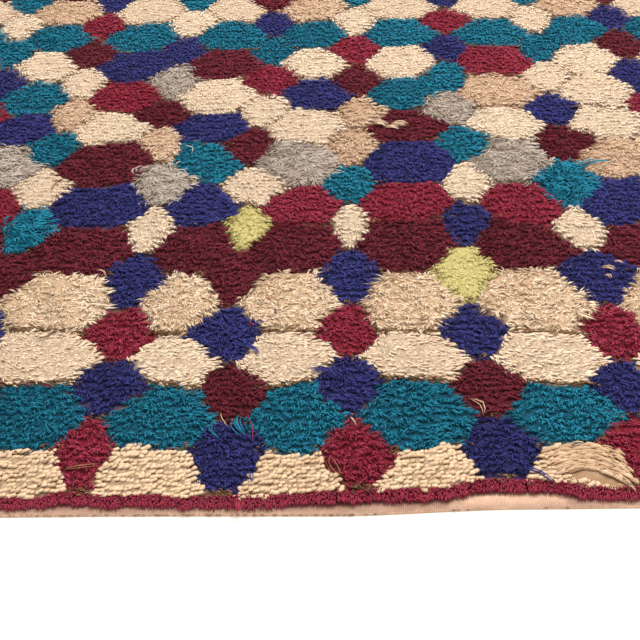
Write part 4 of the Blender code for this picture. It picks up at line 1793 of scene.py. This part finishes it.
@dataclass
class GroundCloth:
    """The woven ground, as one closed sheet: bare at both ends and raised under the pile.

    The grid is fine where the photograph looks, from fine_left to fine_right and up to fine_far.
    """

    lattice: Lattice
    fine_step: float = 9.6 * MM
    coarse_step: float = 18 * MM
    fine_left: float = -0.50
    fine_right: float = 0.54
    fine_far: float = -0.12
    bare_height: float = 3.0 * MM
    seam_height: float = 6.5 * MM
    pile_height: float = 8.8 * MM
    grain_height: float = 11.2 * MM
    pale_height: float = 11.8 * MM
    underside_inset: float = 1.5 * MM
    # How far inside its block the cloth comes to full colour, and to full height.
    seam_fade: float = 2.5 * MM
    swell_width: float = 9 * MM
    # Inwards from a border row's line: where the cloth rises to the pile, and where the strip of
    # crimson under the row starts and stops.
    pile_start: tuple[float, float] = (-5 * MM, 5 * MM)
    crimson_start: tuple[float, float] = (-8 * MM, -5 * MM)
    crimson_stop: tuple[float, float] = (6 * MM, 9 * MM)
    # The depths inside the parting and the bare place between which the cloth changes.
    parted_fade: tuple[float, float] = (-4 * MM, 2 * MM)
    worn_fade: tuple[float, float] = (-3 * MM, 3 * MM)
    parting_depth: float = 4 * MM
    bare_colour: str = "F4C6AA"
    worn_colour: str = "9C7A5A"
    # The weft's brown along the seams, darkened by painted shade between the blocks.
    seam_colour: str = "664834"
    # Painted shade: the share of a dye's light that the pressed pile keeps, in the blocks, in the plump
    # ivory and in the crimson under the border rows.
    dye_shade: float = 0.85
    plump_shade: float = 0.74
    crimson_shade: float = 0.4
    # The share of light that is left in its chinks.
    pale_chinks: float = 0.55
    deep_chinks: float = 0.3

    def lines(self, half: float, fine_from: float, fine_to: float) -> Array:
        """Grid lines from -half to half, closer together in one stretch, in an even number of steps.

        Args:
            half: half the cloth's size.
            fine_from: where the close stretch starts.
            fine_to: where it ends.

        Returns:
            The lines' places.
        """
        before = np.linspace(-half, fine_from, 1 + max(1, round((fine_from + half) / self.coarse_step)))
        within = np.linspace(fine_from, fine_to, 1 + round((fine_to - fine_from) / self.fine_step))
        after = np.linspace(fine_to, half, 1 + max(1, round((half - fine_to) / self.coarse_step)))
        places = np.concatenate([before[:-1], within, after[1:]])
        if len(places) % 2 == 0:
            places = np.insert(places, 1, (places[0] + places[1]) / 2)
        return places

    def paint(self, x: Array, y: Array) -> tuple[Array, Array]:
        """The cloth's height and colour.

        It is bare past the border rows, low and brown along the seams between the blocks, and swells to
        the block's own dye inside them. The seams' brown weft, the blocks' dyes and the crimson under the
        border rows are darkened by painted shade. The alpha is the share of light that is left in the
        pressed pile's chinks. The cloth sinks at the parting and at the bare place.

        Args:
            x: places across.
            y: places along.

        Returns:
            The heights, and a linear colour for each place.
        """
        found = self.lattice.look_up(x, y)
        # Painted shade: each block's dye is darkened by its share, and its chinks by the alpha.
        shades = [self.plump_shade if letter == "P" else self.dye_shade for letter in LETTERS]
        dyes = np.array([linear(DYES[letter].body, shade) for letter, shade in zip(LETTERS, shades)])
        dyes[:, 3] = [self.pale_chinks if letter in PALE else self.deep_chinks for letter in LETTERS]
        inside = smooth(found.depth, 0.0, self.seam_fade)[:, None]
        seam = np.array(linear(self.seam_colour))
        bare = np.array(linear(self.bare_colour))
        colour = seam * (1.0 - inside) + dyes[np.maximum(found.block, 0)] * inside
        to_end = self.lattice.border_line(x, 1, 0.0) - y
        to_start = y - self.lattice.border_line(x, -1, 0.0)
        from_crest = np.minimum(to_end, to_start)
        under_pile = smooth(from_crest, *self.pile_start)
        past_border = smooth(from_crest, *self.crimson_stop)
        in_border = smooth(from_crest, *self.crimson_start) * (1.0 - past_border)
        # The crimson under a border row, darkened by painted shade.
        crimson = np.array(linear(DYES["R"].body, self.crimson_shade))
        colour = bare * (1.0 - under_pile[:, None]) + colour * under_pile[:, None]
        colour = colour * (1.0 - in_border[:, None]) + crimson * in_border[:, None]
        full = np.array([self.pale_height if letter in PALE else self.pile_height for letter in LETTERS])
        full[np.array([letter in GRAIN_DYES for letter in LETTERS])] = self.grain_height
        swell = smooth(found.depth, 0.0, self.swell_width)
        lift = self.seam_height + (full[np.maximum(found.block, 0)] - self.seam_height) * swell
        height = self.bare_height + (lift - self.bare_height) * under_pile
        parted = smooth(PARTED.depth(x, y), *self.parted_fade)
        worn = smooth(BARE.depth(x, y), *self.worn_fade)
        # The parting takes the seams' colour: brown weft with painted shade.
        colour = colour * (1.0 - parted[:, None]) + seam * parted[:, None]
        colour = colour * (1.0 - worn[:, None]) + np.array(linear(self.worn_colour)) * worn[:, None]
        return height - self.parting_depth * np.maximum(parted, 0.5 * worn), colour

    def build(self) -> bpy.types.Object:
        """Build the sheet: an upper grid, a flat underside of half as many lines, and a wall between.

        Returns:
            The piece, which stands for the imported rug.
        """
        lattice = self.lattice
        line_x = self.lines(lattice.half_width, self.fine_left, self.fine_right)
        line_y = self.lines(lattice.half_length, -lattice.half_length + self.coarse_step, self.fine_far)
        grid_x, grid_y = np.meshgrid(line_x, line_y, indexing="ij")
        ends = np.where(grid_y < 0, -lattice.end_line(grid_x, -1), lattice.end_line(grid_x, 1))
        grid_y = grid_y * ends / lattice.half_length
        height, colour = self.paint(grid_x.ravel(), grid_y.ravel())
        top = np.stack([grid_x.ravel(), grid_y.ravel(), height], axis=1)
        inset = 1.0 - self.underside_inset / lattice.half_width
        low_x, low_y = grid_x[::2, ::2] * inset, grid_y[::2, ::2]
        under = np.stack([low_x.ravel(), low_y.ravel(), np.zeros(low_x.size)], axis=1)
        across, along = grid_x.shape
        upper = np.arange(across * along).reshape(across, along)
        lower = across * along + np.arange(low_x.size).reshape(low_x.shape)
        upper_corners = (upper[:-1, :-1], upper[1:, :-1], upper[1:, 1:], upper[:-1, 1:])
        lower_corners = (lower[:-1, :-1], lower[:-1, 1:], lower[1:, 1:], lower[1:, :-1])
        faces = [np.stack(corners, axis=2).reshape(-1, 4) for corners in (upper_corners, lower_corners)]
        rims = (
            (upper[:, 0], lower[:, 0]),
            (upper[-1, :], lower[-1, :]),
            (upper[::-1, -1], lower[::-1, -1]),
            (upper[0, ::-1], lower[0, ::-1]),
        )
        for high, low in rims:
            first, middle, last = high[:-2:2], high[1::2], high[2::2]
            here, after = low[:-1], low[1:]
            faces.append(np.stack([first, here, middle], axis=1))
            faces.append(np.stack([middle, here, after], axis=1))
            faces.append(np.stack([middle, after, last], axis=1))
        under_colour = colour.reshape(across, along, 4)[::2, ::2].reshape(-1, 4)
        dye = np.concatenate([colour, under_colour])
        made = new_piece("ground_cloth", np.concatenate([top, under]), faces, {"dye": dye})
        made.data.materials.append(GroundWeave().material())
        made.data.materials.append(PressedPile().material())
        middle_x = (grid_x[:-1, :-1] + grid_x[1:, 1:]) / 2
        middle_y = (grid_y[:-1, :-1] + grid_y[1:, 1:]) / 2
        start, stop = lattice.border_line(middle_x, -1, 0.0), lattice.border_line(middle_x, 1, 0.0)
        finish = np.zeros(len(made.data.polygons), dtype=np.int32)
        finish[:middle_x.size] = ((middle_y > start) & (middle_y < stop)).ravel()
        made.data.polygons.foreach_set("material_index", finish)
        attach(made, BODY)
        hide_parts(NODE)
        return made


# The studio.


@dataclass(frozen=True)
class Studio:
    """The plain floor and the soft light."""

    floor_half: float = 9.0
    key_energy: float = 190.0
    key_size: float = 3.2
    key_place: tuple[float, float, float] = (0.8, 1.0, 3.6)
    key_aim: tuple[float, float, float] = (0.0, -0.5, 0.0)
    world_strength: float = 0.85
    world_colour: str = "FFFDF8"

    def floor(self) -> bpy.types.Object:
        """Lay the floor: one square just under the rug.

        Returns:
            The floor.
        """
        half = self.floor_half
        corners = [(-half, -half, 0.0), (half, -half, 0.0), (half, half, 0.0), (-half, half, 0.0)]
        made = new_piece("floor", np.array(corners), [np.array([[0, 1, 2, 3]])], {})
        made.data.materials.append(PaintedFloor().material())
        return made

    def lights(self) -> None:
        """Hang one large soft light behind and over the rug, and fill the rest from the surroundings."""
        data = bpy.data.lights.new("key_light", "AREA")
        data.shape = "DISK"
        data.size = self.key_size
        data.energy = self.key_energy
        lamp = bpy.data.objects.new("key_light", data)
        lamp.location = self.key_place
        aim = np.array(self.key_aim) - np.array(self.key_place)
        turn = math.atan2(-aim[0], aim[1])
        tip = math.atan2(math.hypot(aim[0], aim[1]), -aim[2])
        lamp.rotation_euler = (tip, 0.0, turn)
        bpy.context.scene.collection.objects.link(lamp)
        world = bpy.data.worlds.new("studio")
        world.use_nodes = True
        bpy.context.scene.view_settings.view_transform = "Standard"
        background = world.node_tree.nodes["Background"]
        background.inputs["Color"].default_value = linear(self.world_colour)
        background.inputs["Strength"].default_value = self.world_strength
        bpy.context.scene.world = world


@dataclass(frozen=True)
class PhotoCamera:
    """The camera, where the photographer's stood: near the rug's end, looking down by 35 degrees."""

    place: tuple[float, float, float] = (0.0885, -2.182, 1.037)
    turn: tuple[float, float, float] = (55.005, 1.548, 1.246)
    lens: float = 78.75
    sensor_width: float = 36.0

    def build(self) -> None:
        """Make the camera and look through it."""
        data = bpy.data.cameras.new("photo_camera")
        data.lens = self.lens
        data.sensor_width = self.sensor_width
        camera = bpy.data.objects.new("photo_camera", data)
        camera.location = self.place
        camera.rotation_euler = tuple(math.radians(angle) for angle in self.turn)
        bpy.context.scene.collection.objects.link(camera)
        bpy.context.scene.camera = camera


def main() -> None:
    """Build the rug's pieces in order, and report each."""
    logging.basicConfig(level=logging.INFO, format="%(name)s: %(message)s")
    PhotoCamera().build()
    lattice = Lattice()
    ground = GroundCloth(lattice).build()
    pile = PileBuilder(lattice).build()
    crimson = bpy.data.materials[DYES["R"].name]
    borders = [BorderRow(lattice).build(end, crimson) for end in (-1, 1)]
    strays = [BrownWeft(lattice).build(), CombedCorner().build(), *LooseEnds().build()]
    pieces = pile + borders + strays
    studio = Studio()
    studio.floor()
    studio.lights()
    total = 0
    for piece in [ground] + pieces:
        count = triangles_of(piece)
        total += count
        log.info("%s: %d triangles", piece.name, count)
    log.info("all pieces: %d triangles", total)


if __name__ == "__main__":
    main()
